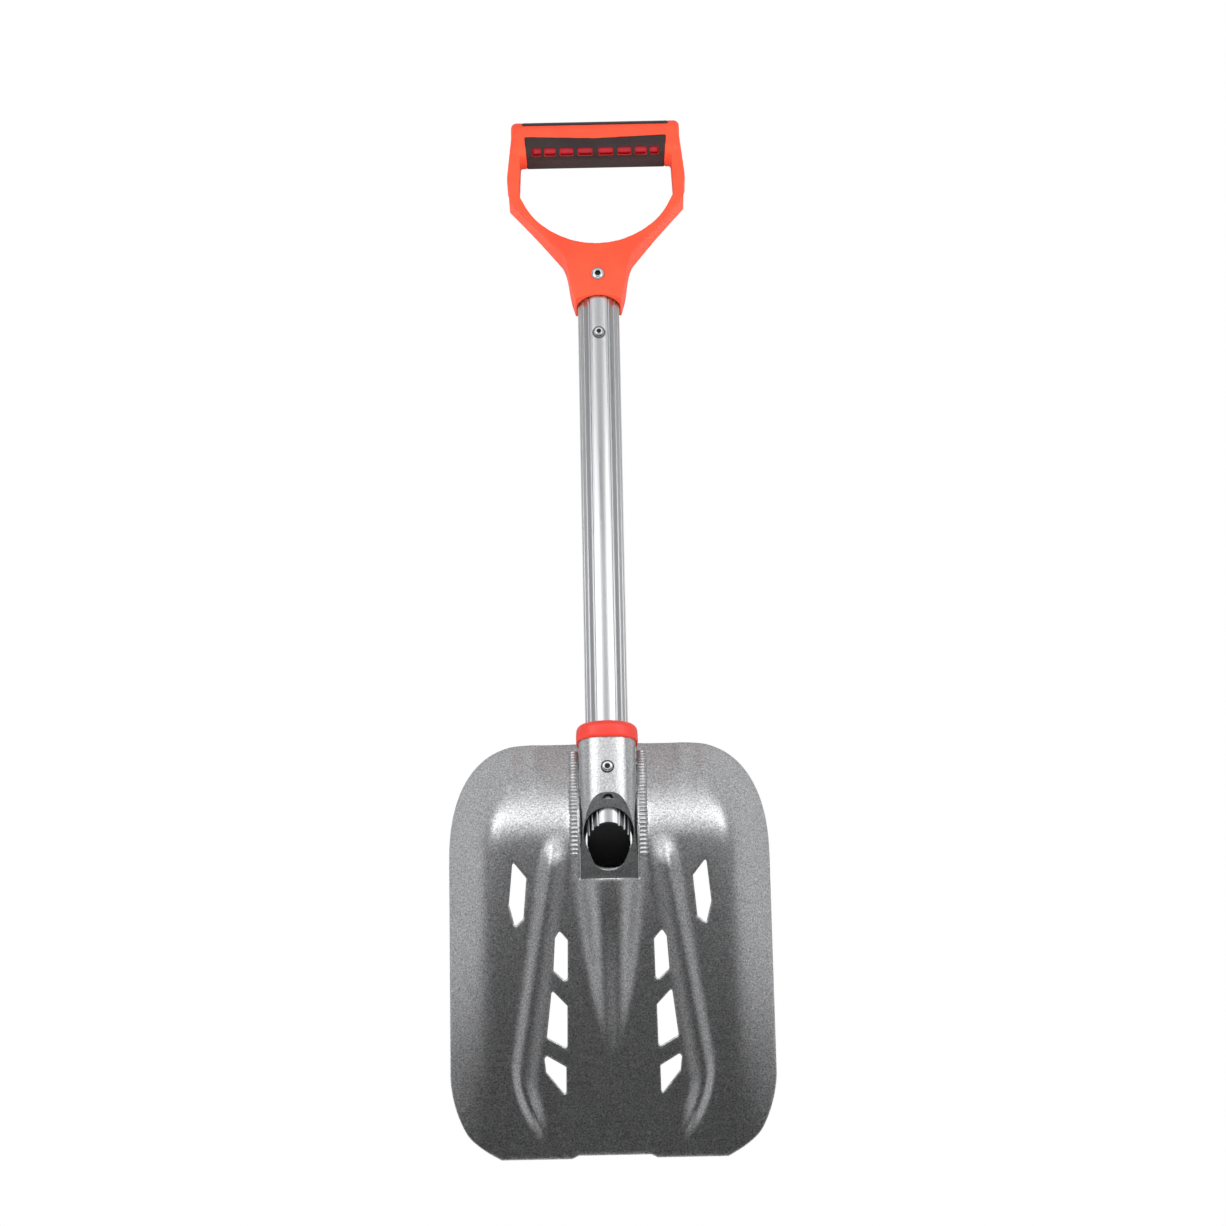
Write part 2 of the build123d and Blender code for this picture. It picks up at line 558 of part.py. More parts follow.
def make_leaf(at, under_flange, floor):
    """The button's folded leaf spring: one leg under the flange, one on the tube's far wall."""
    half = LEAF_THICK / 2
    high, low = under_flange - half, floor + half
    fold = (high - low) / 2
    line = Polyline((at - LEAF_BEHIND, high), (at + LEAF_LENGTH - fold, high))
    turn = CenterArc((at + LEAF_LENGTH - fold, (high + low) / 2), fold, -90, 180)
    back = Polyline((at + LEAF_LENGTH - fold, low), (at, low))
    path = Plane.YZ * (line + turn + back)
    start = Plane(origin=(0, at - LEAF_BEHIND, high), x_dir=(1, 0, 0), z_dir=(0, 1, 0))
    return sweep(start * Rectangle(LEAF_WIDTH, LEAF_THICK), path=path)


# ---- D-grip ----
def grip_bar(shrink):
    """The grip bar's rounded-square section over its full width, shrunk by that much."""
    side = GRIP_SIZE - 2 * shrink
    section = Plane.YZ * RectangleRounded(side, side, GRIP_CORNER - shrink)
    bar = extrude(section, amount=GRIP_HALF_WIDTH - shrink, both=True)
    ends = bar.edges().group_by(Axis.X)
    bar = fillet(ends[0] + ends[-1], radius=GRIP_END_ROUND - shrink)
    return Pos(0, GRIP_REACH, 0) * bar


def handle_front():
    """The D seen from the back: its outer outline less the hand hole, as a face in the XY plane."""
    mouth = NECK_EDGE_AT - SADDLE_DEPTH
    wide = SHOULDER_HALF_WIDTH
    outer = make_face([
        Line((0, mouth), (NECK_A, mouth)),
        Spline(
            (NECK_A, mouth),
            (NECK_A + NECK_FLARE, NECK_EDGE_AT + SADDLE_DEPTH),
            (NECK_WAIST_HALF_WIDTH, NECK_WAIST_AT),
            tangents=[(0.1, 1), (0.75, 1)],
        ),
        Polyline(
            (NECK_WAIST_HALF_WIDTH, NECK_WAIST_AT),
            (wide, SHOULDER_AT),
            (wide, STEP_AT),
            (wide + STEP, STEP_AT + 2 * STEP),
            (wide + STEP, STEP_AT + 6 * STEP),
            (GRIP_HALF_WIDTH, GRIP_REACH),
            (0, GRIP_REACH),
            (0, mouth),
        ),
    ])
    top = GRIP_REACH - GRIP_SIZE / 4
    hole = make_face([
        Spline(
            (0, HAND_HOLE_BOTTOM),
            *[(share * HAND_HOLE_HALF_WIDTH, HAND_HOLE_BOTTOM + up) for share, up in HAND_HOLE_BOWL],
            (HAND_HOLE_HALF_WIDTH, HAND_HOLE_SIDE_AT),
            tangents=[(1, 0), (0.5, 1)],
        ),
        Polyline(
            (HAND_HOLE_HALF_WIDTH, HAND_HOLE_SIDE_AT),
            (HAND_HOLE_HALF_WIDTH - HAND_HOLE_DRAFT, top),
            (0, top),
            (0, HAND_HOLE_BOTTOM),
        ),
    ])
    half = outer - hole
    return half + mirrored(half)


def handle_side():
    """The D seen from the side: its depth along the shaft, as a face in the YZ plane."""
    arm = ARM_DEPTH / 2
    half = [
        (NECK_EDGE_AT - SADDLE_DEPTH - 1, NECK_B - 0.4),
        (NECK_EDGE_AT + 12, NECK_B),
        (NECK_WAIST_AT + 4, arm + 3),
        (HAND_HOLE_BOTTOM + 14, arm),
        (HAND_HOLE_SIDE_AT, arm + 1),
        (GRIP_REACH - GRIP_SIZE / 2, GRIP_SIZE / 2 - 2.5),
        (GRIP_REACH + 1, GRIP_SIZE / 2 - 1.5),
    ]
    outline = Spline(half)
    start, end = half[0], half[-1]
    upper = make_face([outline, Polyline(end, (end[0], 0), (start[0], 0), start)])
    return Plane.YZ * (upper + mirror(upper, about=Plane.XZ))


def make_handle():
    """Shaft frame: the D-grip moulding, with its neck, arms and the core of the grip bar."""
    body = extrude(handle_front(), amount=40, both=True) & extrude(handle_side(), amount=100, both=True)
    handle = body + grip_bar(0)
    reach = SHAFT_END_IN_NECK + 1.0
    handle -= along_shaft(oval(SHAFT_A + SHAFT_CLEARANCE, SHAFT_B + SHAFT_CLEARANCE), 300, NECK_EDGE_AT + reach)
    handle -= along_shaft(oval(TUBE_A + SEAT_CLEARANCE, TUBE_B + SEAT_CLEARANCE), 300, TUBE_TOP + 0.5)
    saddle_radius = (NECK_A**2 + SADDLE_DEPTH**2) / (2 * SADDLE_DEPTH)
    handle -= Pos(0, NECK_EDGE_AT - saddle_radius, 0) * Cylinder(saddle_radius, 80)
    seat = NECK_B - SCREW_HEAD_SINK
    handle -= upright(SCREW_HEAD_RADIUS + SCREW_HEAD_GAP, SCREW_AT, seat, NECK_B + 10)
    handle -= upright(NUT_RADIUS + SCREW_GAP, SCREW_AT, -NECK_B - 10, NECK_B)
    handle -= upright(SCREW_HEAD_RADIUS + SCREW_HEAD_GAP, SCREW_AT, -NECK_B - 10, -seat)
    handle -= lower_pad_space(0)
    handle -= top_pad_space(0)
    for window in grip_windows(WINDOW_POCKET):
        handle -= window
    return handle.solids().sort_by(SortBy.VOLUME)[-1]


def lower_pad_space(gap):
    """The shell under the grip bar's surface that the palm pad fills."""
    shell = grip_bar(0) - grip_bar(PAD_THICK - gap)
    edge = GRIP_REACH + PAD_EDGE_ABOVE_MIDDLE - gap
    low = GRIP_REACH - GRIP_SIZE
    wide, narrow = PAD_HALF_WIDTH - gap, PAD_HALF_WIDTH - PAD_TAPER - gap
    mask = in_plane_polygon([(-narrow, low), (narrow, low), (wide, edge + 2.0), (0, edge), (-wide, edge + 2.0)])
    return shell & extrude(mask, amount=60, both=True)


def top_pad_space(gap):
    """The shell along the top of the grip bar that the top pad fills."""
    shell = grip_bar(0) - grip_bar(PAD_THICK - gap)
    low = GRIP_REACH + GRIP_SIZE / 2 - TOP_PAD_BELOW_TOP + gap
    wide = PAD_HALF_WIDTH + 2 - gap
    mask = in_plane_polygon([(-wide, low), (wide, low), (wide - 4, low + 20), (-wide + 4, low + 20)])
    return shell & extrude(mask, amount=60, both=True)


def grip_windows(depth):
    """The row of windows in the palm pad, as blocks sunk from the bar's lower back corner."""
    blocks = []
    reach = GRIP_SIZE / 2 - GRIP_CORNER
    for pitch, width in zip(WINDOW_PITCHES, WINDOW_WIDTHS):
        block = Pos(0, 0, GRIP_CORNER + 2 - (depth + 2) / 2) * Box(width, WINDOW_HEIGHT, depth + 2)
        placed = Rot(WINDOW_TILT, 0, 0) * block
        for side in (1, -1):
            blocks.append(Pos(side * pitch, GRIP_REACH - reach, reach) * placed)
    return blocks


def make_palm_pad():
    pad = lower_pad_space(SEAT_CLEARANCE)
    for window in grip_windows(PAD_THICK + 1):
        pad -= window
    return pad


def make_handle_screw():
    """Shaft frame: the button-head screw through the neck."""
    seat = NECK_B - SCREW_HEAD_SINK
    screw = upright(SCREW_HEAD_RADIUS, SCREW_AT, seat, seat + SCREW_HEAD_HEIGHT)
    screw = chamfer(screw.edges().group_by(Axis.Z)[-1], length=SCREW_HEAD_CHAMFER)
    screw += upright(SCREW_SHANK_RADIUS, SCREW_AT, -NECK_B / 2, seat)
    socket = extrude(RegularPolygon(SCREW_HEX, 6), amount=3)
    return screw - Pos(0, SCREW_AT, seat + SCREW_HEAD_HEIGHT - SCREW_HEX_DEPTH) * socket


def make_handle_nut():
    """Shaft frame: the barrel nut that the screw goes into, headed on the front."""
    seat = NECK_B - SCREW_HEAD_SINK
    nut = upright(SCREW_HEAD_RADIUS, SCREW_AT, -seat - SCREW_HEAD_HEIGHT, -seat)
    nut = chamfer(nut.edges().group_by(Axis.Z)[0], length=SCREW_HEAD_CHAMFER)
    nut += upright(NUT_RADIUS, SCREW_AT, -seat, seat - 0.2)
    return nut - upright(SCREW_SHANK_RADIUS + 0.05, SCREW_AT, -NECK_B / 2 - 1, seat + 1)


# ---- Assembly ----
def make_weld_beads(on_blade, neighbours):
    """The two weld beads by name, each laid in its seam and shaped by the pieces it joins."""
    seam = Spline(weld_path())
    rope = sweep(Plane(origin=seam @ 0, z_dir=seam % 0) * Circle(WELD_RADIUS), path=seam)
    beads = {"weld_bead_right": on_blade * rope, "weld_bead_left": on_blade * mirrored(rope)}
    for name, bead in beads.items():
        beads[name] = (bead - neighbours).solids().sort_by(SortBy.VOLUME)[-1]
    return beads


def button_heights():
    """Heights of the buttons' tops and flanges over the shaft's axis, and how far each is pressed."""
    length_top = SHAFT_B + LENGTH_BUTTON_PROUD
    lock_top = SOCKET_B + LOCK_BUTTON_PROUD
    length_under = roof_over(LENGTH_BUTTON_RADIUS, BORE_A, BORE_B)
    lock_under = roof_over(LOCK_BUTTON_RADIUS, SHAFT_A, SHAFT_B)
    return {
        "length_top": length_top,
        "length_flange": roof_over(LENGTH_FLANGE, TUBE_BORE_A, TUBE_BORE_B) - ROOF_GAP,
        "length_press": length_top - length_under + PRESSED_GAP,
        "lock_top": lock_top,
        "lock_flange": roof_over(LOCK_FLANGE, BORE_A, BORE_B) - ROOF_GAP,
        "lock_press": lock_top - lock_under + PRESSED_GAP,
    }


def shaft_pieces():
    """Every piece that is drawn in the shaft frame, by name."""
    high = button_heights()
    lock_flange, length_flange = high["lock_flange"], high["length_flange"]
    lock_floor = -roof_over(LEAF_WIDTH / 2, BORE_A, BORE_B) + ROOF_GAP
    tube_floor = -roof_over(LEAF_WIDTH / 2, TUBE_BORE_A, TUBE_BORE_B) + ROOF_GAP
    sunk_top = high["length_top"] - high["length_press"]
    sunk_flange = length_flange - high["length_press"]
    return {
        "socket_tube": make_socket(),
        "socket_collar": make_collar(),
        "outer_shaft": make_shaft(),
        "end_plug": make_end_plug(),
        "lock_button": make_button(LOCK_BUTTON_RADIUS, LOCK_BUTTON_AT, high["lock_top"], lock_flange),
        "lock_leaf_spring": make_leaf(LOCK_BUTTON_AT, lock_flange - FLANGE_THICK, lock_floor),
        "inner_tube": make_inner_tube(),
        "tube_guide": make_tube_guide(),
        "length_button": make_button(
            LENGTH_BUTTON_RADIUS, LENGTH_BUTTON_AT, high["length_top"], length_flange
        ),
        "length_leaf_spring": make_leaf(LENGTH_BUTTON_AT, length_flange - FLANGE_THICK, tube_floor),
        "extension_button": make_button(
            LENGTH_BUTTON_RADIUS, EXTENSION_BUTTON_AT, sunk_top, sunk_flange
        ),
        "extension_leaf_spring": make_leaf(
            EXTENSION_BUTTON_AT, sunk_flange - FLANGE_THICK, tube_floor
        ),
        "handle_frame": make_handle(),
        "palm_pad": make_palm_pad(),
        "top_pad": top_pad_space(SEAT_CLEARANCE),
        "handle_screw": make_handle_screw(),
        "handle_nut": make_handle_nut(),
    }


def placed_pieces():
    """Every piece by name, with the cutting edge at Y 0 and the ground at Z 0."""
    on_blade = Pos(0, 0, SHEET * cos(radians(RIM_ANGLE))) * Rot(RIM_ANGLE, 0, 0)
    on_shaft = Pos(0, MOUTH_FROM_EDGE, MOUTH_HEIGHT) * Rot(-SHAFT_SLOPE, 0, 0)
    placed = {"blade": on_blade * make_blade()}
    placed |= {name: on_shaft * piece for name, piece in shaft_pieces().items()}
    neighbours = [placed[name] for name in ("blade", "socket_tube", "socket_collar")]
    placed |= make_weld_beads(on_blade, neighbours)
    return placed


def centring(placed):
    """The move that puts the origin under the middle of the shovel's box."""
    boxes = [piece.bounding_box() for piece in placed.values()]
    low, high = min(box.min.Y for box in boxes), max(box.max.Y for box in boxes)
    return Pos(0, -(low + high) / 2, -min(box.min.Z for box in boxes))


if __name__ == "__main__":
    os.makedirs("parts", exist_ok=True)
    placed = placed_pieces()
    centre = centring(placed)
    for name, piece in placed.items():
        export_step(centre * piece, f"parts/{name}.step")
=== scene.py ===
# %% [markdown]
# # Camp shovel
# A snow and camp shovel: a pressed aluminium blade with a welded socket, a fluted shaft that slides out
# of it, and a D-grip on a telescoping tube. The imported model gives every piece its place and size.
# This script could only colour those pieces. It also replaces the ones whose look needs more than exact
# CAD faces: the blade, the welds, the moulded grip and its pads, the collar and the small turned parts.
# Sizes are in millimetres until a mesh is made, and then in metres.

# %% Load the frame
import json
import math

import bmesh
import bpy
import numpy as np
from mathutils import Matrix, Vector
from mathutils.geometry import delaunay_2d_cdt


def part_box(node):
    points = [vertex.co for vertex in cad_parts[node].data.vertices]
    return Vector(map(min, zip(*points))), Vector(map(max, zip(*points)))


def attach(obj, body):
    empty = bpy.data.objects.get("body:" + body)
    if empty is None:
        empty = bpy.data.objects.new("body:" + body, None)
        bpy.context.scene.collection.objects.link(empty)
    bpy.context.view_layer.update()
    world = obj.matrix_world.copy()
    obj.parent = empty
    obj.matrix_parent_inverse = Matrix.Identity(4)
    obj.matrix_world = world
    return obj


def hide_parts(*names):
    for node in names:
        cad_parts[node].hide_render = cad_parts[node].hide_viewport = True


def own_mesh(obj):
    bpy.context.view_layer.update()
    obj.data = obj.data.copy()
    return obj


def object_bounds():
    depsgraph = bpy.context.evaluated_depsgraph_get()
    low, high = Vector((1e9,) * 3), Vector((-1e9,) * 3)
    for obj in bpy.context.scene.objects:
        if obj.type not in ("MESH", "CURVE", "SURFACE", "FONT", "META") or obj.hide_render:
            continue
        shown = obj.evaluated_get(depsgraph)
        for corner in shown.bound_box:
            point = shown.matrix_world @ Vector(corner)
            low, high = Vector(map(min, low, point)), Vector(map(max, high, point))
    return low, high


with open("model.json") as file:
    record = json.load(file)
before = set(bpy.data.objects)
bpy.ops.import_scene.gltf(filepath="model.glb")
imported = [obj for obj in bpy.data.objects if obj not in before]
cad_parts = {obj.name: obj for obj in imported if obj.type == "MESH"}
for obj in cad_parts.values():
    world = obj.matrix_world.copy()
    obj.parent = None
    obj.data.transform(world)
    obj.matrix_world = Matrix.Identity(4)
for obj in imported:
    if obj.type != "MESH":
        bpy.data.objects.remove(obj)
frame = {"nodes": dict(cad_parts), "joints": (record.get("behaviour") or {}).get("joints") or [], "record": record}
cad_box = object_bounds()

nodes = frame["nodes"]

# %% [markdown]
# ## Two bench frames
# The blade frame runs up the flat panel from the cutting edge; the shaft frame starts on the shaft's
# axis at the socket's mouth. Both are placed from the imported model: the cutting edge is the blade's
# lowest Y, and the shaft's slope is the telescope joint's axis.

# %% Bench frames
MM = 0.001
SHEET = 2.0
RIM_ANGLE = math.radians(9.5)
MOUTH_FROM_EDGE = 288.5
MOUTH_HEIGHT = 28.2

blade_low, blade_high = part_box("blade")
EDGE_Y, GROUND_Z = blade_low.y / MM, blade_low.z / MM
slide = next(j for j in frame["joints"] if j["name"] == "handle_extension")
SHAFT_SLOPE = -math.asin(slide["axis"][2])


def from_blade(points):
    """Row-frame metres of points given as (x, v, w) in the blade frame."""
    x, v, w = np.asarray(points, float).T
    c, s = math.cos(RIM_ANGLE), math.sin(RIM_ANGLE)
    return np.stack([x, EDGE_Y + v * c - w * s, GROUND_Z + SHEET * c + v * s + w * c], 1) * MM


def from_shaft(points):
    """Row-frame metres of points given as (x, a, z) in the shaft frame."""
    x, a, z = np.asarray(points, float).T
    c, s = math.cos(SHAFT_SLOPE), math.sin(SHAFT_SLOPE)
    y = EDGE_Y + MOUTH_FROM_EDGE + a * c + z * s
    return np.stack([x, y, GROUND_Z + MOUTH_HEIGHT - a * s + z * c], 1) * MM


print("cutting edge at", round(EDGE_Y, 2), "mm, shaft slope", round(math.degrees(SHAFT_SLOPE), 3))

# %% [markdown]
# ## Finishes
# A finish could be one flat colour, but real metal and plastic vary a little everywhere. So each finish
# is a Principled surface over three noises: one for colour, one for roughness and a fine one for grain.
# The scales come from real sizes: a noise of size s millimetres has scale 1000 / s in object
# coordinates, which are metres. A Bevel node softens the edges that CAD leaves sharp.

# %% Node helpers
def linear(hex_colour):
    """Linear RGBA of an sRGB hex colour."""
    parts = [int(hex_colour[i:i + 2], 16) / 255 for i in (1, 3, 5)]
    return [c / 12.92 if c <= 0.04045 else ((c + 0.055) / 1.055) ** 2.4 for c in parts] + [1.0]


def add(tree, kind, inputs=None, **settings):
    """A node with its settings and inputs; an input is a value or another node's output."""
    made = tree.nodes.new(kind)
    for key, value in settings.items():
        setattr(made, key, value)
    for key, value in (inputs or {}).items():
        if isinstance(value, bpy.types.NodeSocket):
            tree.links.new(value, made.inputs[key])
        else:
            made.inputs[key].default_value = value
    return made


def noise(tree, where, size_mm, detail=3.0, roughness=0.55):
    """A noise whose features are that many millimetres across."""
    values = {"Vector": where, "Scale": 1000.0 / size_mm, "Detail": detail, "Roughness": roughness}
    return add(tree, "ShaderNodeTexNoise", values).outputs["Fac"]


def remapped(tree, value, low, high):
    """A noise value, spread from low to high."""
    values = {"Value": value, "From Min": 0.3, "From Max": 0.7, "To Min": low, "To Max": high}
    return add(tree, "ShaderNodeMapRange", values).outputs["Result"]


def finish(name, light, dark, metal, rough, grain_mm, grain_depth, mottle_mm=18.0, stretch=(1, 1, 1),
           edge_mm=0.3, spread=0.05, coat=0.0, sheen=0.0, speckle_mm=None):
    """A surface finish: two colours, a range of roughness, a grain of real size and softened edges."""
    material = bpy.data.materials.new(name)
    material.use_nodes = True
    tree = material.node_tree
    tree.nodes.clear()
    where = add(tree, "ShaderNodeTexCoord").outputs["Object"]
    along = add(tree, "ShaderNodeMapping", {"Vector": where, "Scale": stretch}).outputs["Vector"]
    blend = remapped(tree, noise(tree, along, speckle_mm or mottle_mm), 0.0, 1.0)
    colour = add(tree, "ShaderNodeMix", {"Factor": blend}, data_type="RGBA")
    colour.inputs["A"].default_value = linear(light)
    colour.inputs["B"].default_value = linear(dark)
    roughness = remapped(tree, noise(tree, along, mottle_mm / 6), rough - spread, rough + spread)
    grain = noise(tree, along, grain_mm, detail=4.0, roughness=0.65)
    edges = add(tree, "ShaderNodeBevel", {"Radius": edge_mm * MM}, samples=4).outputs["Normal"]
    bump = add(tree, "ShaderNodeBump", {
        "Height": grain, "Normal": edges, "Strength": 1.0, "Distance": grain_depth * MM})
    surface = add(tree, "ShaderNodeBsdfPrincipled", {
        "Base Color": colour.outputs["Result"], "Metallic": metal, "Roughness": roughness,
        "Normal": bump.outputs["Normal"], "Coat Weight": coat, "Sheen Weight": sheen})
    out = add(tree, "ShaderNodeOutputMaterial")
    tree.links.new(surface.outputs["BSDF"], out.inputs["Surface"])
    return material


# %% [markdown]
# The metals differ by how they were made, so one grey for all would look wrong: the blade was bead
# blasted before anodising and sparkles, the socket is smoother, and the tubes keep the lines of drawing
# along their length. The blasted pits are far finer than a millimetre, so they are drawn coarser, at
# about a millimetre, to show at all.

# %% Finishes of the shovel
FINISHES = {
    # A pale grey sparkle over a soft sheen, with no direction.
    "bead_blasted_aluminium": finish(
        "bead_blasted_aluminium", "#DFDFE1", "#88898B", 1.0, 0.375, 0.8, 0.07, spread=0.03, edge_mm=0.0,
        speckle_mm=1.1),
    # The same grey, smoother, so the tube's highlights are long bands.
    "satin_aluminium": finish(
        "satin_aluminium", "#DEDFE0", "#A0A1A3", 1.0, 0.35, 0.7, 0.05, spread=0.03, edge_mm=0.35,
        speckle_mm=1.1),
    # Brighter, wetter metal that has flowed.
    "weld_aluminium": finish("weld_aluminium", "#C9CACB", "#AEAFB1", 1.0, 0.4, 0.9, 0.02, mottle_mm=5.0,
                             edge_mm=0.0),
    # Fine lines along the tube under a thin clear oxide.
    "anodised_shaft": finish("anodised_shaft", "#B9BABC", "#AEAFB1", 1.0, 0.3, 0.7, 0.02,
                             stretch=(1, 0.02, 1), edge_mm=0.15),
    # Red moulded nylon, slightly glossy.
    "red_plastic": finish("red_plastic", "#DC3526", "#D23023", 0.0, 0.42, 0.6, 0.01, coat=0.05, edge_mm=0.3),
    # Orange moulded nylon with a fine spark texture.
    "orange_plastic": finish("orange_plastic", "#F4502D", "#EE4829", 0.0, 0.47, 0.5, 0.015, edge_mm=0.4),
    # Black moulded nylon of the plugs.
    "black_plastic": finish("black_plastic", "#0C0C0D", "#080809", 0.0, 0.78, 0.5, 0.01, edge_mm=0.2),
    # Soft overmoulded rubber, dull and a little warm.
    "black_rubber": finish("black_rubber", "#2E1F20", "#241718", 0.0, 0.66, 0.45, 0.02, sheen=0.05,
                           edge_mm=0.3),
    # Turned and polished, nearly a mirror.
    "stainless_steel": finish("stainless_steel", "#D8D9DB", "#C8C9CC", 1.0, 0.22, 0.4, 0.004, edge_mm=0.15),
    # Dark blued strip.
    "spring_steel": finish("spring_steel", "#8C8D92", "#6F7076", 1.0, 0.35, 0.4, 0.01,
                           stretch=(1, 0.05, 1), edge_mm=0.1),
}
print("finishes:", len(FINISHES))

# %% [markdown]
# Every CAD node takes the finish of its material slot from the record. It could be written out node by
# node, but read from the record the slots and the scene never disagree. A CAD mesh is flat triangles,
# so it is shaded smooth, except where two faces meet at more than 28 degrees.

# %% Finishes on the CAD nodes
SHARP_ANGLE = math.radians(28)
SLOT_OF = {part["node"]: part["material_slot"] for part in frame["record"]["subparts"]}
for name, node in nodes.items():
    node.data.materials.clear()
    node.data.materials.append(FINISHES[SLOT_OF[name]])
    node.data.shade_smooth()
    node.data.set_sharp_from_angle(angle=SHARP_ANGLE)
print("CAD nodes finished:", len(nodes))

# %% [markdown]
# ## Making a piece
# A piece is a closed mesh whose object sits at the origin. It rides on its body, takes the finish of its CAD
# node's material slot and hides that node. Those lines are the same for all, so one function has them.
# Turned and moulded shapes are lofts: rings of points joined by faces.

# %% Piece helpers
BODY_OF = {n: body for body, members in frame["record"]["behaviour"]["bodies"].items() for n in members}


def piece_from_mesh(name, mesh, node):
    """An object for a finished mesh that stands for one CAD node."""
    mesh.name = name
    mesh.shade_smooth()
    if not mesh.materials:
        mesh.materials.append(FINISHES[SLOT_OF[node]])
    piece = bpy.data.objects.new(name, mesh)
    bpy.context.scene.collection.objects.link(piece)
    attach(piece, BODY_OF[node])
    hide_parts(node)
    print(name, "has", len(mesh.polygons), "faces")
    return piece


def mesh_of(points, faces, name="mesh"):
    """A mesh of points and faces."""
    mesh = bpy.data.meshes.new(name)
    mesh.from_pydata([tuple(p) for p in points], [], [tuple(int(i) for i in f) for f in faces])
    mesh.update()
    return mesh


def outward(mesh):
    """The same mesh with its normals consistent and outward."""
    work = bmesh.new()
    work.from_mesh(mesh)
    bmesh.ops.recalc_face_normals(work, faces=work.faces)
    work.to_mesh(mesh)
    work.free()
    return mesh


def merged(mesh):
    """The same mesh with its doubled points merged: a CAD node's triangles are loose."""
    work = bmesh.new()
    work.from_mesh(mesh)
    bmesh.ops.remove_doubles(work, verts=work.verts, dist=1e-6)
    work.to_mesh(mesh)
    work.free()
    return mesh


def lofted(rings, close=False):
    """A tube through rings of equal length; capped at both ends, or closed into a loop."""
    count = len(rings[0])
    points = np.concatenate(rings)
    faces = []
    pairs = len(rings) if close else len(rings) - 1
    for i in range(pairs):
        a, b = i * count, ((i + 1) % len(rings)) * count
        for k in range(count):
            n = (k + 1) % count
            faces.append((a + k, a + n, b + n, b + k))
    if not close:
        faces.append(tuple(range(count - 1, -1, -1)))
        faces.append(tuple(range(len(points) - count, len(points))))
    return points, faces


# %% [markdown]
# ## The pressed blade
# A press forms the blade from one flat sheet. It could be sculpted, but a pressing follows its die, and
# a die is a rule: so the height of the sheet's back is a formula of the place on it. It adds a flange
# that bends down to the rim, a bent rib on each side, the spine that rises to meet the socket, and the
# tread ribs along the top edge. The numbers are the CAD sheet's, so the fine mesh lies in the same place.

# %% Height of the sheet
HALF, LENGTH = 113.5, 292.0
FLAT_HALF, FLAT_LENGTH, POWER = 55.0, 207.0, 2.35
BEND_PLACE, BEND_SOFTNESS, CORNER_BLEND = 0.55, 0.12, 0.05
RIB_HEIGHT, OUTER_FLANK, INNER_FLANK, RIB_FADE, RIB_RADIUS = 4.5, 10.0, 14.0, 26.0, 16.0
RIB_TOP, RIB_BEND, RIB_FOOT = (36.5, 226.0), (65.5, 42.0), (45.0, 20.0)
SPINE_START, SPINE_TAIL, SPINE_SQUARENESS, SPINE_RISE = 68.0, 0.93, 3.2, 0.75
SOCKET_A, SOCKET_B = 20.1, 18.5
SOCKET_END = (MOUTH_FROM_EDGE - 99.0) / math.cos(RIM_ANGLE)
CUT_HALF = SOCKET_A + 0.9
TREADS, TREAD_WIDTH, TREAD_HEIGHT = (52.0, 69.0), 5.0, 1.8


def smooth_step(t):
    """From 0 to 1 with a level start and end."""
    t = np.clip(t, 0, 1)
    return t * t * (3 - 2 * t)


def soft_ramp(t):
    """Zero, then t, with a soft bend between them."""
    return (t + np.sqrt(t * t + BEND_SOFTNESS**2)) / 2


def flange_fall(x, v):
    """How far into the flange a point is, and how far down to the rim the sheet has come there."""
    across = (np.maximum(0, np.abs(x) - FLAT_HALF) / (HALF - FLAT_HALF)) ** POWER
    along = (np.maximum(0, v - FLAT_LENGTH) / (LENGTH - FLAT_LENGTH)) ** POWER
    share = (across + along) ** (1 / POWER)
    bent = soft_ramp(share - BEND_PLACE) / soft_ramp(1 - BEND_PLACE)
    towards_top = smooth_step(along / (across + along + CORNER_BLEND))
    return share, bent + (share**2 - bent) * towards_top


def outside_line(x, v, start, end):
    """Distance to the right of the line from start to end."""
    run, rise = end[0] - start[0], end[1] - start[1]
    return ((x - start[0]) * rise - (v - start[1]) * run) / math.hypot(run, rise)


def rib_height(x, v):
    """The bent rib: its crest follows two lines joined by an arc."""
    x = np.abs(x)
    beside = outside_line(x, v, RIB_BEND, RIB_TOP) + RIB_RADIUS
    under = outside_line(x, v, RIB_FOOT, RIB_BEND) + RIB_RADIUS
    outwards = np.hypot(np.maximum(beside, 0), np.maximum(under, 0))
    outwards = outwards + np.minimum(np.maximum(beside, under), 0) - RIB_RADIUS
    flank = np.where(outwards > 0, OUTER_FLANK, INNER_FLANK)
    upper = smooth_step((RIB_TOP[1] - v) / RIB_FADE)
    lower = smooth_step((x - RIB_FOOT[0]) / RIB_FADE * 2 + np.maximum(0, (v - RIB_BEND[1]) / RIB_FADE))
    return RIB_HEIGHT * upper * lower * (1 - smooth_step(np.abs(outwards) / flank))


def spine_crest():
    """Height over the panel that the spine has where the socket starts."""
    ground = SOCKET_END * math.cos(RIM_ANGLE)
    axis = MOUTH_HEIGHT + (MOUTH_FROM_EDGE - ground) * math.tan(SHAFT_SLOPE)
    panel = SHEET * math.cos(RIM_ANGLE) + SOCKET_END * math.sin(RIM_ANGLE)
    return (axis + SOCKET_B - panel) / math.cos(RIM_ANGLE)


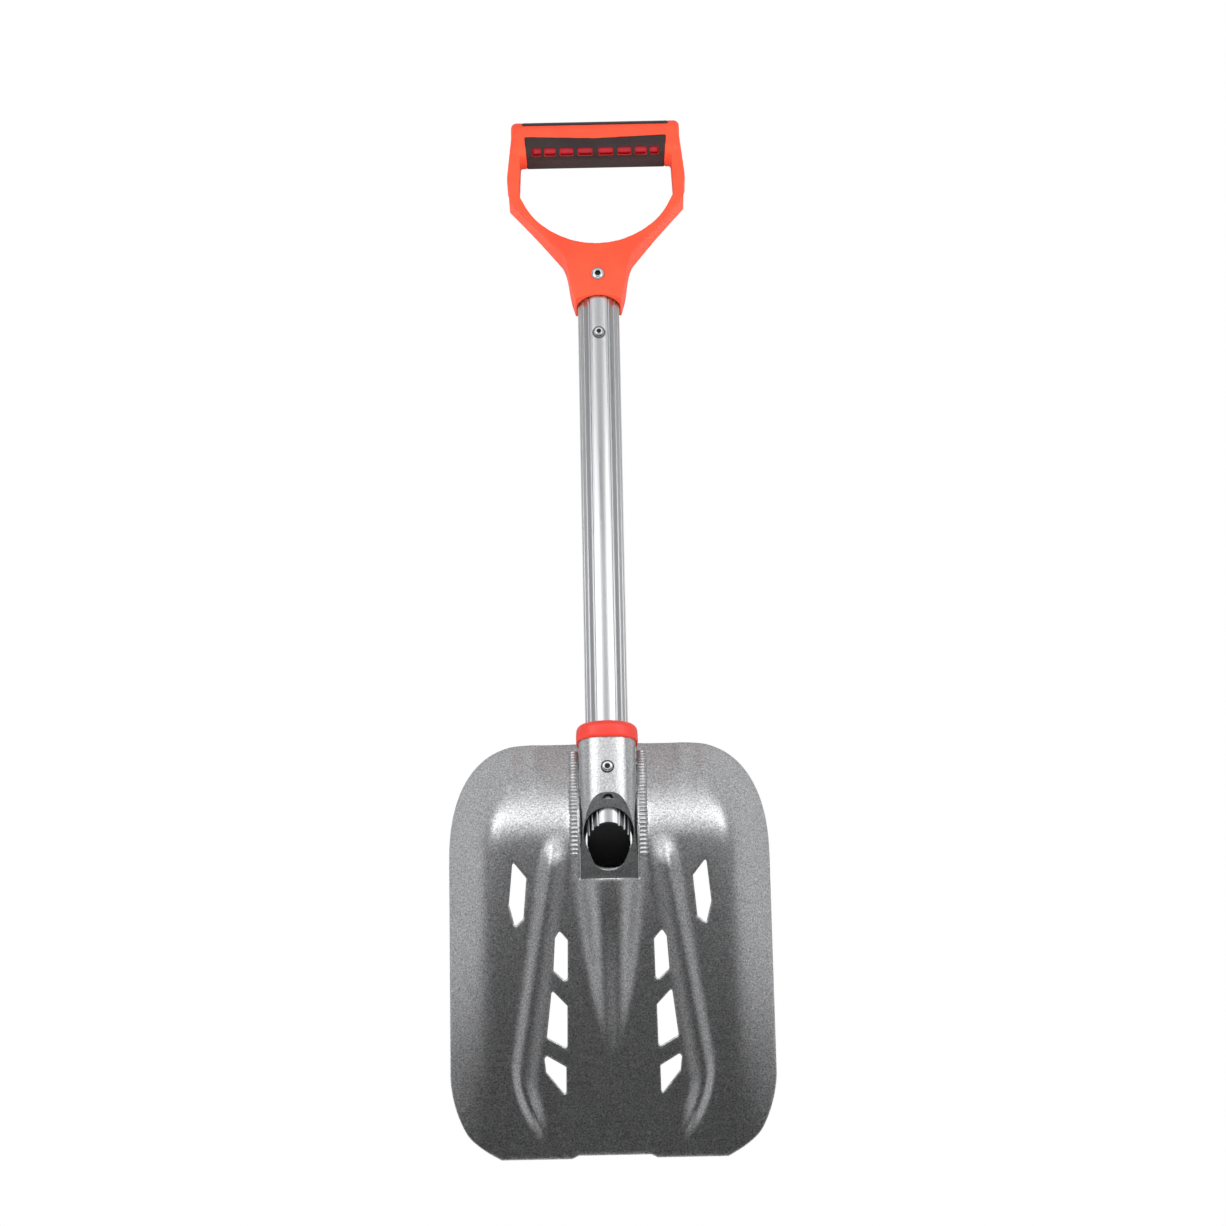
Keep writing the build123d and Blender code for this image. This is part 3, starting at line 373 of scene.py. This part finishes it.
def back_height(x, v):
    """Height of the sheet's back surface over the flat panel."""
    share, rim = flange_fall(x, v)
    height = -rim * np.maximum(v, 0) * math.tan(RIM_ANGLE) + rib_height(x, v)
    rise = np.clip((v - SPINE_START) / (SOCKET_END - SPINE_START), 0, 1)
    half = SOCKET_A * np.maximum(np.sqrt(rise), 0.05)
    arch = np.exp(-((np.abs(x) / (SPINE_TAIL * half)) ** SPINE_SQUARENESS))
    height += spine_crest() * smooth_step(rise) ** SPINE_RISE * arch
    top = smooth_step((share - 0.45) / 0.4) * smooth_step((v - FLAT_LENGTH) / 40)
    for place in TREADS:
        height += TREAD_HEIGHT * top * np.exp(-(((np.abs(x) - place) / TREAD_WIDTH) ** 2))
    return height


def sheet_points(x, v, depth):
    """Points that deep under the back surface, measured square to it."""
    h = 0.25
    slope_x = (back_height(x + h, v) - back_height(x - h, v)) / (2 * h)
    slope_v = (back_height(x, v + h) - back_height(x, v - h)) / (2 * h)
    n = np.sqrt(slope_x**2 + slope_v**2 + 1)
    z = back_height(x, v)
    return np.stack([x + depth * slope_x / n, v + depth * slope_v / n, z - depth / n], 1)


print("spine crest", round(spine_crest(), 2), "mm over the panel")

# %% [markdown]
# ## The sheet's outline and slots
# The outline and the eight slots are drawn flat, as they are cut before the press closes. They could be
# cut out of a finished sheet by a Boolean, but that leaves ragged edges on a fine mesh, so the mesh is
# built round them from the start.

# %% Outline and slots
STEP_MM = 1.5
EDGE_RADIUS = 0.9
EDGE_LOOPS = (0.0, 0.12, 0.4, 0.9)
SLOT_CORNERS = [
    [(58.0, 194.0), (67.5, 206.0), (70.5, 176.0), (66.5, 160.5), (60.5, 166.0)],
    [(30.0, 150.5), (35.5, 157.0), (38.5, 152.0), (40.0, 129.5), (32.5, 122.5), (30.5, 124.0)],
    [(31.0, 105.0), (41.5, 116.0), (45.5, 83.5), (33.0, 76.5), (31.5, 78.0)],
    [(32.5, 63.0), (46.0, 71.0), (47.5, 69.0), (46.5, 60.0), (34.0, 44.5), (32.8, 46.0)],
]


def resampled(points, step):
    """A closed polyline's points, with every long side divided."""
    out = []
    for start, end in zip(points, np.roll(points, -1, axis=0)):
        count = max(1, int(math.ceil(np.hypot(*(end - start)) / step)))
        for i in range(count):
            out.append(start + (end - start) * i / count)
    return np.array(out)


def rounded(corners, radius):
    """A closed polyline with every corner turned into a small curve."""
    corners = np.array(corners, float)
    out = []
    for i, here in enumerate(corners):
        before, after = corners[i - 1] - here, corners[(i + 1) % len(corners)] - here
        lb, la = np.hypot(*before), np.hypot(*after)
        turn = math.acos(np.clip(before @ after / (lb * la), -1, 1))
        reach = min(radius / math.tan(turn / 2), 0.45 * lb, 0.45 * la)
        start, end = here + before / lb * reach, here + after / la * reach
        for t in np.linspace(0, 1, 6):
            out.append((1 - t) ** 2 * start + 2 * t * (1 - t) * here + t * t * end)
    return np.array(out)


def hermite(start, end, out_of, into, count):
    """Points on a curve between two points that leaves and arrives along two directions."""
    t = np.linspace(0, 1, count, endpoint=False)[:, None]
    a, b = 2 * t**3 - 3 * t**2 + 1, t**3 - 2 * t**2 + t
    return a * start + b * out_of + (1 - a) * end + (t**3 - t**2) * into


def right_outline():
    """The right half of the trimmed outline, from the middle of the edge round to the cut-out."""
    lobe, lobe_at, edge_half, rise = 2.2, 25.0, 78.0, 60.0
    first, last = np.array([edge_half, 0.0]), np.array([HALF, rise])
    middle = np.array([HALF - (HALF - edge_half) * 0.3136, rise * 0.3136])
    across = (last - first) * 0.5
    low = hermite(first, middle, np.array([26.0, 13.0]), across * 0.75, 12)
    high = hermite(middle, last, across * 1.0, np.array([0.0, 46.0]), 16)
    turn = np.linspace(0, math.pi / 2, 48)
    corner = np.stack([FLAT_HALF + (HALF - FLAT_HALF) * np.cos(turn) ** (2 / POWER),
                       FLAT_LENGTH + (LENGTH - FLAT_LENGTH) * np.sin(turn) ** (2 / POWER)], 1)
    edge = np.array([(0.0, lobe), (lobe_at, lobe), (lobe_at + 2 * lobe, 0.0)])
    cut = np.array([(CUT_HALF, LENGTH), (CUT_HALF, SOCKET_END)])
    return np.concatenate([edge, low, high, corner, cut])


def moved_in(loop, distance, sign):
    """A loop moved sideways by a distance: into the sheet for the outline, outwards for a slot."""
    ahead = np.roll(loop, -1, axis=0) - loop
    ahead /= np.hypot(*ahead.T)[:, None]
    normal = np.stack([-ahead[:, 1], ahead[:, 0]], 1)
    mean = normal + np.roll(normal, 1, axis=0)
    mean /= np.hypot(*mean.T)[:, None]
    spread = np.clip(np.sum(mean * normal, axis=1), 0.6, 1.0)[:, None]
    return loop + sign * distance * mean / spread


def inside(points, loop):
    """Which points lie in a closed polyline, by counting crossings."""
    crossings = np.zeros(len(points), bool)
    for (x0, y0), (x1, y1) in zip(loop, np.roll(loop, -1, axis=0)):
        if y0 == y1:
            continue
        between = (points[:, 1] > min(y0, y1)) & (points[:, 1] <= max(y0, y1))
        reach = x0 + (points[:, 1] - y0) * (x1 - x0) / (y1 - y0)
        crossings ^= between & (points[:, 0] < reach)
    return crossings


half_outline = right_outline()
other_half = (half_outline * [-1, 1])[:0:-1]
outline = resampled(np.concatenate([half_outline, other_half]), STEP_MM)
slots = []
for corners in SLOT_CORNERS:
    loop = rounded(corners, 1.3)
    area = np.sum(loop[:, 0] * np.roll(loop[:, 1], -1) - loop[:, 1] * np.roll(loop[:, 0], -1))
    loop = resampled(loop if area > 0 else loop[::-1], STEP_MM)
    slots += [loop, (loop * [-1, 1])[::-1]]
print("outline points", len(outline), "slots", len(slots))

# %% [markdown]
# Loops set in from every edge carry its small rounding, and a constrained Delaunay triangulation fills
# the rest with points on a fine grid. The flat plan is then lifted twice, to the sheet's back and to its
# front, and the two skins are joined along every edge. A Solidify modifier would do that too, but it
# can't round the edges.

# %% Triangulated sheet
GRID_MM = 1.75


def sheet_plan():
    """Flat points, triangles and each point's distance from the sheet's edge."""
    flat, edges, set_in = [], [], []
    for loop, sign in [(outline, 1)] + [(s, -1) for s in slots]:
        for distance in EDGE_LOOPS:
            start = len(flat)
            flat += list(moved_in(loop, distance, sign))
            set_in += [distance] * len(loop)
            edges += [(start + i, start + (i + 1) % len(loop)) for i in range(len(loop))]
    xs = np.arange(-HALF, HALF + GRID_MM, GRID_MM)
    vs = np.arange(0, LENGTH + GRID_MM, GRID_MM)
    grid = np.stack(np.meshgrid(xs, vs), 2).reshape(-1, 2)
    grid[:, 0] += np.where(np.round(grid[:, 1] / GRID_MM) % 2 == 1, GRID_MM / 2, 0)
    keep = inside(grid, outline)
    for slot in slots:
        keep &= ~inside(grid, slot)
    grid = grid[keep]
    border = np.concatenate([outline, *slots])
    near = np.full(len(grid), np.inf)
    for part in np.array_split(border, 12):
        away = np.hypot(grid[:, None, 0] - part[None, :, 0], grid[:, None, 1] - part[None, :, 1])
        near = np.minimum(near, away.min(1))
    grid = grid[near > EDGE_LOOPS[-1] + 0.9]
    flat += list(grid)
    set_in += [SHEET] * len(grid)
    out = delaunay_2d_cdt([Vector(p) for p in flat], edges, [], 0, 1e-5)
    plan = np.array([(p.x, p.y) for p in out[0]])
    triangles = np.array(out[2])
    distance = np.array([min(set_in[i] for i in ids) if ids else SHEET for ids in out[3]])
    middles = plan[triangles].mean(1)
    keep = inside(middles, outline)
    for slot in slots:
        keep &= ~inside(middles, slot)
    return plan, triangles[keep], distance


def sheet_mesh():
    """The closed sheet: its back, its front and the walls between them."""
    plan, triangles, distance = sheet_plan()
    inner = np.clip(EDGE_RADIUS - distance, 0, EDGE_RADIUS)
    rounding = EDGE_RADIUS - np.sqrt(EDGE_RADIUS**2 - inner**2)
    back = from_blade(sheet_points(plan[:, 0], plan[:, 1], rounding))
    front = from_blade(sheet_points(plan[:, 0], plan[:, 1], SHEET - rounding))
    count = len(plan)
    sides = {}
    for a, b, c in triangles:
        for pair in ((a, b), (b, c), (c, a)):
            sides[pair] = sides.get(pair, 0) + 1
    rim = [pair for pair in sides if (pair[1], pair[0]) not in sides]
    faces = [tuple(t) for t in triangles]
    faces += [(c + count, b + count, a + count) for a, b, c in triangles]
    faces += [(b, a, a + count, b + count) for a, b in rim]
    mesh = mesh_of(np.concatenate([back, front]), faces, "blade_sheet")
    work = bmesh.new()
    work.from_mesh(mesh)
    bmesh.ops.delete(work, geom=[v for v in work.verts if not v.link_faces], context="VERTS")
    work.to_mesh(mesh)
    work.free()
    low_z = min(v.co.z for v in mesh.vertices)
    for vertex in mesh.vertices:
        vertex.co.z = max(vertex.co.z, blade_low.z)
    print("lowest point before the rim is ground flat:", round(low_z / MM, 2), "mm")
    return mesh


piece_from_mesh("blade_sheet", outward(sheet_mesh()), "blade")

# %% [markdown]
# ## Weld beads
# A hand-laid bead is a row of small pools, each frozen over the one before, like a fallen stack of
# coins. A bump on a smooth tube would lose the crescents at its edge, so the pools are real shape.
# Geometry Nodes set a leaning pool on the seam at every pitch, size it a little at random and melt the
# row together through a volume. A change of pitch or lean then needs no new modelling.

# %% Weld beads by Geometry Nodes
WELD_PITCH, WELD_HALF_WIDTH = 2.9, 3.9
WELD_OUT, WELD_SINK = 2.8, 0.6
WELD_START, WELD_STOP = SOCKET_END + 18.0, LENGTH - 8.0


def weld_tree():
    """The node tree that turns the seam's line into a rippled bead."""
    tree = bpy.data.node_groups.new("weld_bead", "GeometryNodeTree")
    face = tree.interface
    face.new_socket("Geometry", in_out="INPUT", socket_type="NodeSocketGeometry")
    for label, value in (("Pitch", WELD_PITCH * MM), ("Half width", WELD_HALF_WIDTH * MM),
                         ("Voxel", 0.24 * MM), ("Lean", 0.6)):
        face.new_socket(label, in_out="INPUT", socket_type="NodeSocketFloat").default_value = value
    face.new_socket("Seed", in_out="INPUT", socket_type="NodeSocketInt").default_value = 3
    face.new_socket("Material", in_out="INPUT", socket_type="NodeSocketMaterial")
    face.new_socket("Geometry", in_out="OUTPUT", socket_type="NodeSocketGeometry")
    start = tree.nodes.new("NodeGroupInput").outputs
    curve = add(tree, "GeometryNodeMeshToCurve", {"Mesh": start["Geometry"]}).outputs[0]
    points = add(tree, "GeometryNodeCurveToPoints", {"Curve": curve, "Length": start["Pitch"]}, mode="LENGTH")
    ball = add(tree, "GeometryNodeMeshUVSphere", {"Segments": 24, "Rings": 16, "Radius": 1.0})
    shape = add(tree, "ShaderNodeCombineXYZ", {"X": 1.0, "Y": 0.72, "Z": 0.56})
    random = add(tree, "FunctionNodeRandomValue", {"Seed": start["Seed"]}, data_type="FLOAT")
    random.inputs[2].default_value = 0.9
    random.inputs[3].default_value = 1.08
    sized = add(tree, "ShaderNodeMath", {0: random.outputs[1], 1: start["Half width"]}, operation="MULTIPLY")
    scale = add(tree, "ShaderNodeVectorMath", {0: shape.outputs[0]}, operation="SCALE")
    tree.links.new(sized.outputs[0], scale.inputs["Scale"])
    lean = add(tree, "ShaderNodeCombineXYZ", {"X": start["Lean"]})
    turn = add(tree, "FunctionNodeRotateRotation", {"Rotation": points.outputs["Rotation"]},
               rotation_space="LOCAL")
    tree.links.new(lean.outputs[0], turn.inputs["Rotate By"])
    pools = add(tree, "GeometryNodeInstanceOnPoints", {
        "Points": points.outputs["Points"], "Instance": ball.outputs["Mesh"],
        "Rotation": turn.outputs[0], "Scale": scale.outputs[0]}).outputs[0]
    solid = add(tree, "GeometryNodeRealizeInstances", {"Geometry": pools}).outputs[0]
    volume = add(tree, "GeometryNodeMeshToVolume", {"Mesh": solid}, resolution_mode="VOXEL_SIZE")
    tree.links.new(start["Voxel"], volume.inputs["Voxel Size"])
    volume.inputs["Interior Band Width"].default_value = 1.0 * MM
    skin = add(tree, "GeometryNodeVolumeToMesh", {"Volume": volume.outputs[0]}, resolution_mode="VOXEL_SIZE")
    tree.links.new(start["Voxel"], skin.inputs["Voxel Size"])
    skin.inputs["Threshold"].default_value = 0.1
    painted = add(tree, "GeometryNodeSetMaterial", {
        "Geometry": skin.outputs[0], "Material": start["Material"]})
    end = tree.nodes.new("NodeGroupOutput")
    tree.links.new(painted.outputs[0], end.inputs[0])
    return tree


def seam(side):
    """The bead's centre line on one side, as a mesh of one polyline."""
    v = np.linspace(WELD_START, WELD_STOP, 60)
    x = np.full_like(v, CUT_HALF + WELD_OUT)
    line = from_blade(np.stack([side * x, v, back_height(x, v) - WELD_SINK], 1))
    mesh = bpy.data.meshes.new("seam")
    mesh.from_pydata([tuple(p) for p in line], [(i, i + 1) for i in range(len(line) - 1)], [])
    return mesh


def evaluated_mesh(holder):
    """A plain mesh of an object with its modifiers done; the object is removed."""
    graph = bpy.context.evaluated_depsgraph_get()
    mesh = bpy.data.meshes.new_from_object(holder.evaluated_get(graph))
    bpy.data.objects.remove(holder)
    return mesh


def set_input(modifier, label, value):
    """Sets a tree's named input on its modifier, by the socket's identifier."""
    sockets = modifier.node_group.interface.items_tree
    found = next(s for s in sockets if s.name == label and s.in_out == "INPUT")
    modifier[found.identifier] = value


bead_tree = weld_tree()
for side, node, seed in ((1, "weld_bead_right", 3), (-1, "weld_bead_left", 8)):
    holder = bpy.data.objects.new("seam", seam(side))
    bpy.context.scene.collection.objects.link(holder)
    modifier = holder.modifiers.new("bead", "NODES")
    modifier.node_group = bead_tree
    set_input(modifier, "Seed", seed)
    set_input(modifier, "Material", FINISHES["weld_aluminium"])
    piece_from_mesh(node + "_ripples", evaluated_mesh(holder), node)

# %% [markdown]
# ## The moulded grip
# The grip and its pads are mouldings, so none of their edges is sharp. Rounding each edge by hand would
# take many bevels that meet in awkward corners. Instead the CAD solid is copied, remeshed on a fine even
# grid and relaxed a little, which rounds every edge by about a millimetre.

# %% Grip and pads
def moulded(node, voxel_mm, relaxations):
    """A copy of a CAD node with the soft edges of a moulding."""
    holder = bpy.data.objects.new(node + "_copy", merged(nodes[node].data.copy()))
    bpy.context.scene.collection.objects.link(holder)
    remesh = holder.modifiers.new("even", "REMESH")
    remesh.mode = "VOXEL"
    remesh.voxel_size = voxel_mm * MM
    relax = holder.modifiers.new("relax", "SMOOTH")
    relax.factor = 0.5
    relax.iterations = relaxations
    return evaluated_mesh(holder)


piece_from_mesh("grip_moulding", moulded("handle_frame", voxel_mm=0.75, relaxations=3), "handle_frame")
piece_from_mesh("palm_pad_moulding", moulded("palm_pad", voxel_mm=0.5, relaxations=4), "palm_pad")
piece_from_mesh("top_pad_moulding", moulded("top_pad", voxel_mm=0.45, relaxations=4), "top_pad")

# %% [markdown]
# Behind the pad's windows the bar lies in shade and shows as a deeper red. Painting that shade on the floors
# of the windows would need a mask that follows them, so the painted shade is a piece of its own: a thin dark
# red strip wrapped round the bar's lower back corner, just over the floors of the windows.

# %% Painted shade strip behind the windows
GRIP_REACH, GRIP_HALF, GRIP_CORNER = 466.0, 15.0, 9.0


def painted_shade_strip(depth, thick, half_length):
    """A bent strip of painted shade that deep under the bar's rounded corner."""
    rings = []
    for x in np.linspace(-half_length, half_length, 24):
        ring = []
        for radius in (GRIP_CORNER - depth, GRIP_CORNER - depth - thick):
            sweep = np.radians(np.linspace(8, 76, 14))
            sweep = sweep if radius == GRIP_CORNER - depth else sweep[::-1]
            centre = GRIP_HALF - GRIP_CORNER
            for turn in sweep:
                a = GRIP_REACH - centre - radius * math.sin(turn)
                ring.append((x, a, centre + radius * math.cos(turn)))
        rings.append(from_shaft(ring))
    return outward(mesh_of(*lofted(rings)))


# The strip is painted shade: its deep red is the orange bar as it looks in the shadow of the windows.
window_shade = bpy.data.objects.new("grip_window_shade", painted_shade_strip(depth=3.6, thick=0.8, half_length=48.5))
window_shade.data.shade_smooth()
window_shade.data.materials.append(finish("painted_window_shade", "#B51226", "#A00F20", 0.0, 0.4, 0.5, 0.01, coat=0.1))
bpy.context.scene.collection.objects.link(window_shade)
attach(window_shade, "handle")
print("grip_window_shade has", len(window_shade.data.polygons), "faces")

# %% [markdown]
# ## Collar
# The collar is one moulding with the liner inside the socket. It isn't a turned part, because its section
# changes from the shaft's oval inside to the socket's rounded square outside. So it is lofted through
# rings of both shapes, with a bulged upper edge, and the button's hole is cut through it last.

# %% Collar
SHAFT_A, SHAFT_B = 15.1, 13.5
LOCK_AT, LOCK_HOLE = -22.0, 4.65


def squircle(a, b, count=128, power=2.8):
    """Points round a rounded square."""
    t = np.linspace(0, 2 * math.pi, count, endpoint=False)
    c, s = np.cos(t), np.sin(t)
    return np.stack([a * np.sign(c) * np.abs(c) ** (2 / power), b * np.sign(s) * np.abs(s) ** (2 / power)], 1)


def oval(a, b, count=128, power=2.8):
    """An ellipse whose points lie on the same rays as the squircle's."""
    ray = squircle(1.0, 1.0, count, power)
    ray /= np.hypot(*ray.T)[:, None]
    return ray / np.hypot(ray[:, 0] / a, ray[:, 1] / b)[:, None]


def collar_rings():
    """The rings up the inside of the collar and its liner, over the top and down the outside."""
    way = oval(SHAFT_A + 0.25, SHAFT_B + 0.25)
    seat = squircle(SOCKET_A - 2.35, SOCKET_B - 2.35)
    lip = squircle(SOCKET_A + 1.6, SOCKET_B + 1.6)
    top = oval(SHAFT_A + 1.65, SHAFT_B + 1.65)
    stations = [(way, -38.0), (seat, -38.0), (seat, 0.0), (lip * 0.985, 0.0), (lip, 0.35)]
    stations += [(lip * (1 + 0.006 * math.sin(t * math.pi)), 0.35 + 6.6 * t) for t in (0.25, 0.5, 0.75)]
    for t in np.linspace(0, 1, 9):
        turn = t * math.pi / 2
        mix = 1 - math.cos(turn)
        stations.append((lip * (1 - mix) + top * mix, 7.0 + 5.6 * math.sin(turn) ** 0.9))
    stations += [(top * 0.985, 13.0), (way * 1.02, 13.0), (way, 12.6)]
    rings = []
    for section, at in stations:
        rings.append(from_shaft(np.stack([section[:, 0], np.full(len(section), at), section[:, 1]], 1)))
    return rings


def drilled(mesh, radius, at, low, high):
    """The mesh with a round hole square to the shaft."""
    holder = bpy.data.objects.new("drilled", mesh)
    bpy.context.scene.collection.objects.link(holder)
    rings = []
    for z in (low, high):
        t = np.linspace(0, 2 * math.pi, 64, endpoint=False)
        rings.append(from_shaft(np.stack([radius * np.cos(t), at + radius * np.sin(t), np.full(64, z)], 1)))
    cutter = bpy.data.objects.new("drill", outward(mesh_of(*lofted(rings))))
    bpy.context.scene.collection.objects.link(cutter)
    cut = holder.modifiers.new("hole", "BOOLEAN")
    cut.object = cutter
    cut.operation = "DIFFERENCE"
    cut.solver = "EXACT"
    bpy.context.view_layer.update()
    result = evaluated_mesh(holder)
    bpy.data.objects.remove(cutter)
    return result


collar = outward(mesh_of(*lofted(collar_rings(), close=True)))
collar = drilled(collar, LOCK_HOLE, LOCK_AT, low=5.0, high=30.0)
piece = piece_from_mesh("collar_moulding", collar, "socket_collar")
piece.data.set_sharp_from_angle(angle=math.radians(40))

# %% [markdown]
# ## Turned parts
# The buttons and the screw are turned on a lathe, so they are made as a lathe makes them: a profile
# turned about an axis square to the shaft. Each profile is given as (radius, height over the shaft's
# axis), from the middle of its top down to its foot.

# %% Buttons and screw
def turned(profile, at, recess, hexagon=None, count=96):
    """A closed turned piece. The first recess rings are its recess, painted dark as shade, six-sided up to ring
    hexagon.
    """
    rings = []
    t = np.linspace(0, 2 * math.pi, count, endpoint=False)
    for i, (radius, z) in enumerate(profile):
        reach = np.full(count, float(radius))
        if hexagon is not None and i < hexagon:
            reach = radius / np.cos((t % (math.pi / 3)) - math.pi / 6)
        rings.append(from_shaft(np.stack([reach * np.cos(t), at + reach * np.sin(t), np.full(count, z)], 1)))
    mesh = outward(mesh_of(*lofted(rings)))
    for face in mesh.polygons:
        face.material_index = 1 if max(face.vertices) < recess * count else 0
    return mesh


def button_profile(radius, top, flange_top):
    """A domed pin with a recess in the middle of its top, over a flange."""
    head = radius * 0.88
    profile = [(0.05, top - 0.85), (head * 0.4, top - 0.8), (head * 0.44, top - 0.5), (head * 0.5, top - 0.1)]
    for turn in np.linspace(0.25, 1.0, 7) * math.pi / 2:
        profile.append((head * (0.5 + 0.5 * math.sin(turn)), top - 1.1 * (1 - math.cos(turn))))
    profile += [(head, top - 3.0), (radius, top - 3.4), (radius, flange_top + 0.2)]
    profile += [(radius + 0.1, flange_top), (radius + 1.3, flange_top)]
    profile += [(radius + 1.3, flange_top - 1.2), (0.05, flange_top - 1.2)]
    return profile


LENGTH_BUTTON_AT, SCREW_AT = 309.0, 354.5
NECK_B = 16.75
seat = NECK_B - 1.2
head = [(0.05, seat + 0.3), (1.75, seat + 0.3), (1.85, seat + 1.75), (2.15, seat + 2.1)]
head += [(2.6, seat + 2.2), (3.2, seat + 2.12), (3.9, seat + 1.85), (4.6, seat + 1.3), (4.95, seat + 0.75)]
head += [(5.1, seat + 0.2), (5.05, seat), (2.5, seat), (2.5, -NECK_B / 2), (0.05, -NECK_B / 2)]
lock_profile = button_profile(radius=4.3, top=20.4, flange_top=10.296)
length_profile = button_profile(radius=3.8, top=16.5, flange_top=8.664)
small_parts = {
    "lock_button": turned(lock_profile, LOCK_AT, recess=3),
    "length_button": turned(length_profile, LENGTH_BUTTON_AT, recess=3),
    "handle_screw": turned(head, SCREW_AT, recess=3, hexagon=3),
}
# The recess of each is painted dark: painted shade in the hollow, where the light hardly reaches.
recess_shade_finish = finish("painted_recess_shade", "#2A2A2C", "#161617", 0.6, 0.5, 0.4, 0.01, edge_mm=0.0)
for node, mesh in small_parts.items():
    piece = piece_from_mesh(node + "_turned", mesh, node)
    piece.data.materials.append(recess_shade_finish)
    piece.data.set_sharp_from_angle(angle=math.radians(45))

# %% [markdown]
# ## Leaf springs
# Each spring button stands on a folded leaf, which folds flatter as the button is pushed in. Left rigid,
# it would be cut through by its button. Here the spring is a piece with its own copy of the mesh, and its
# height along the button's push is worked out, but nothing makes it flatten with the button's joint.

# %% Leaf springs
joints = {joint["name"]: joint for joint in frame["joints"]}
for node, press in (("lock_leaf_spring", "lock_button_press"), ("length_leaf_spring", "length_button_press")):
    piece = piece_from_mesh(node + "_folded", merged(nodes[node].data.copy()), node)
    piece.data.set_sharp_from_angle(angle=SHARP_ANGLE)
    inwards = Vector(joints[press]["axis"])
    places = [vertex.co.dot(inwards) for vertex in piece.data.vertices]
    height = max(places) - min(places)
    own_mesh(piece)

# %% [markdown]
# ## Stage and light
# Metal shows what it reflects, so its look is made by the lights' places. A soft box close over the
# socket gives the panel its fade from bright to dark, two at its sides light the blade's shoulders, and
# pale walls under a dark ceiling light the flanges. Plastic needs far more light than that to show its
# colour, so three strong keys light everything except what shines.

# %% Floor and light
def floor():
    """A pale floor just under the shovel: paper that gives light back, and plain white to the camera."""
    mesh = bpy.data.meshes.new("floor")
    mesh.from_pydata([(-6, -6, 0), (6, -6, 0), (6, 6, 0), (-6, 6, 0)], [], [(0, 1, 2, 3)])
    plane = bpy.data.objects.new("floor", mesh)
    bpy.context.scene.collection.objects.link(plane)
    material = bpy.data.materials.new("pale_floor")
    material.use_nodes = True
    tree = material.node_tree
    tree.nodes.clear()
    seen = add(tree, "ShaderNodeLightPath").outputs["Is Camera Ray"]
    paper = add(tree, "ShaderNodeBsdfDiffuse", {"Color": linear("#C8C8C8")})
    glow = add(tree, "ShaderNodeEmission", {"Color": linear("#FFFFFF"), "Strength": 1.0})
    mix = add(tree, "ShaderNodeMixShader", {0: seen, 1: paper.outputs[0], 2: glow.outputs[0]})
    out = add(tree, "ShaderNodeOutputMaterial")
    tree.links.new(mix.outputs[0], out.inputs["Surface"])
    mesh.materials.append(material)
    plane.location.z = cad_box[0][2] - 0.0005


def soft_light(name, place, size, brightness, for_metal=True):
    """A soft box that faces the middle of the shovel; its brightness is that of its surface."""
    light = bpy.data.lights.new(name, "AREA")
    light.shape = "RECTANGLE"
    light.size, light.size_y = size
    light.energy = brightness * math.pi * size[0] * size[1]
    lamp = bpy.data.objects.new(name, light)
    bpy.context.scene.collection.objects.link(lamp)
    lamp.location = place
    lamp.rotation_euler = (-Vector(place)).to_track_quat("-Z", "Y").to_euler()
    lamp.visible_camera = False
    lamp.visible_glossy = for_metal


floor()
soft_light("wide_box", (0.0, 0.05, 0.45), (0.9, 0.36), 0.85)
soft_light("left_box", (-0.42, 0.28, 0.75), (0.45, 0.4), 2.6)
soft_light("right_box", (0.42, 0.28, 0.75), (0.45, 0.4), 2.6)
soft_light("back_box", (0.0, 0.95, 1.1), (1.6, 0.6), 1.3)
soft_light("front_box", (0.0, -1.5, 1.6), (0.7, 0.4), 1.3)
soft_light("near_key", (0.0, -2.6, 1.15), (2.6, 0.8), 10.5, for_metal=False)
soft_light("left_key", (-2.6, 0.2, 1.3), (2.4, 0.8), 5.3, for_metal=False)
soft_light("right_key", (2.6, 0.2, 1.3), (2.4, 0.8), 5.3, for_metal=False)
world = bpy.data.worlds.new("studio")
world.use_nodes = True
background = world.node_tree.nodes["Background"]
background.inputs["Color"].default_value = linear("#FFFFFF")
way = add(world.node_tree, "ShaderNodeTexCoord").outputs["Generated"]
height = add(world.node_tree, "ShaderNodeSeparateXYZ", {"Vector": way}).outputs["Z"]
walls = add(world.node_tree, "ShaderNodeMapRange", {
    "Value": height, "From Min": 0.15, "From Max": 0.85, "To Min": 0.75, "To Max": 0.0})
world.node_tree.links.new(walls.outputs["Result"], background.inputs["Strength"])
bpy.context.scene.world = world
bpy.context.scene.view_settings.view_transform = "Standard"
print("soft boxes:", len(bpy.data.lights))

# %% [markdown]
# ## Camera
# The shovel is seen from high over the cutting edge's side with a long lens, turned a little. The camera
# could be placed by hand, but its elevation, roll and distance say more, so its axes are worked out
# from those and it is moved back from its target.

# %% Camera
ELEVATION, ROLL, DISTANCE, LENS = math.radians(72.75), math.radians(-1.168), 2.7, 111.0
AIM_FROM_EDGE, AIM_HEIGHT, AIM_RIGHT, AIM_UP = 382.74, 19.8, 6.0, 4.8
forward = Vector((0, math.cos(ELEVATION), -math.sin(ELEVATION)))
right = Vector((1, 0, 0))
up = right.cross(forward)
camera_right = right * math.cos(ROLL) + up * math.sin(ROLL)
camera_up = up * math.cos(ROLL) - right * math.sin(ROLL)
target = Vector((0, EDGE_Y + AIM_FROM_EDGE, GROUND_Z + AIM_HEIGHT)) * MM
target += (camera_right * AIM_RIGHT + camera_up * AIM_UP) * MM
lens = bpy.data.cameras.new("camera")
lens.lens = LENS
lens.sensor_width = 36
camera = bpy.data.objects.new("camera", lens)
bpy.context.scene.collection.objects.link(camera)
camera.matrix_world = Matrix.Translation(target - forward * DISTANCE) @ Matrix(
    (camera_right, camera_up, -forward)).transposed().to_4x4()
bpy.context.scene.camera = camera
print("camera at", [round(c, 3) for c in camera.matrix_world.translation])
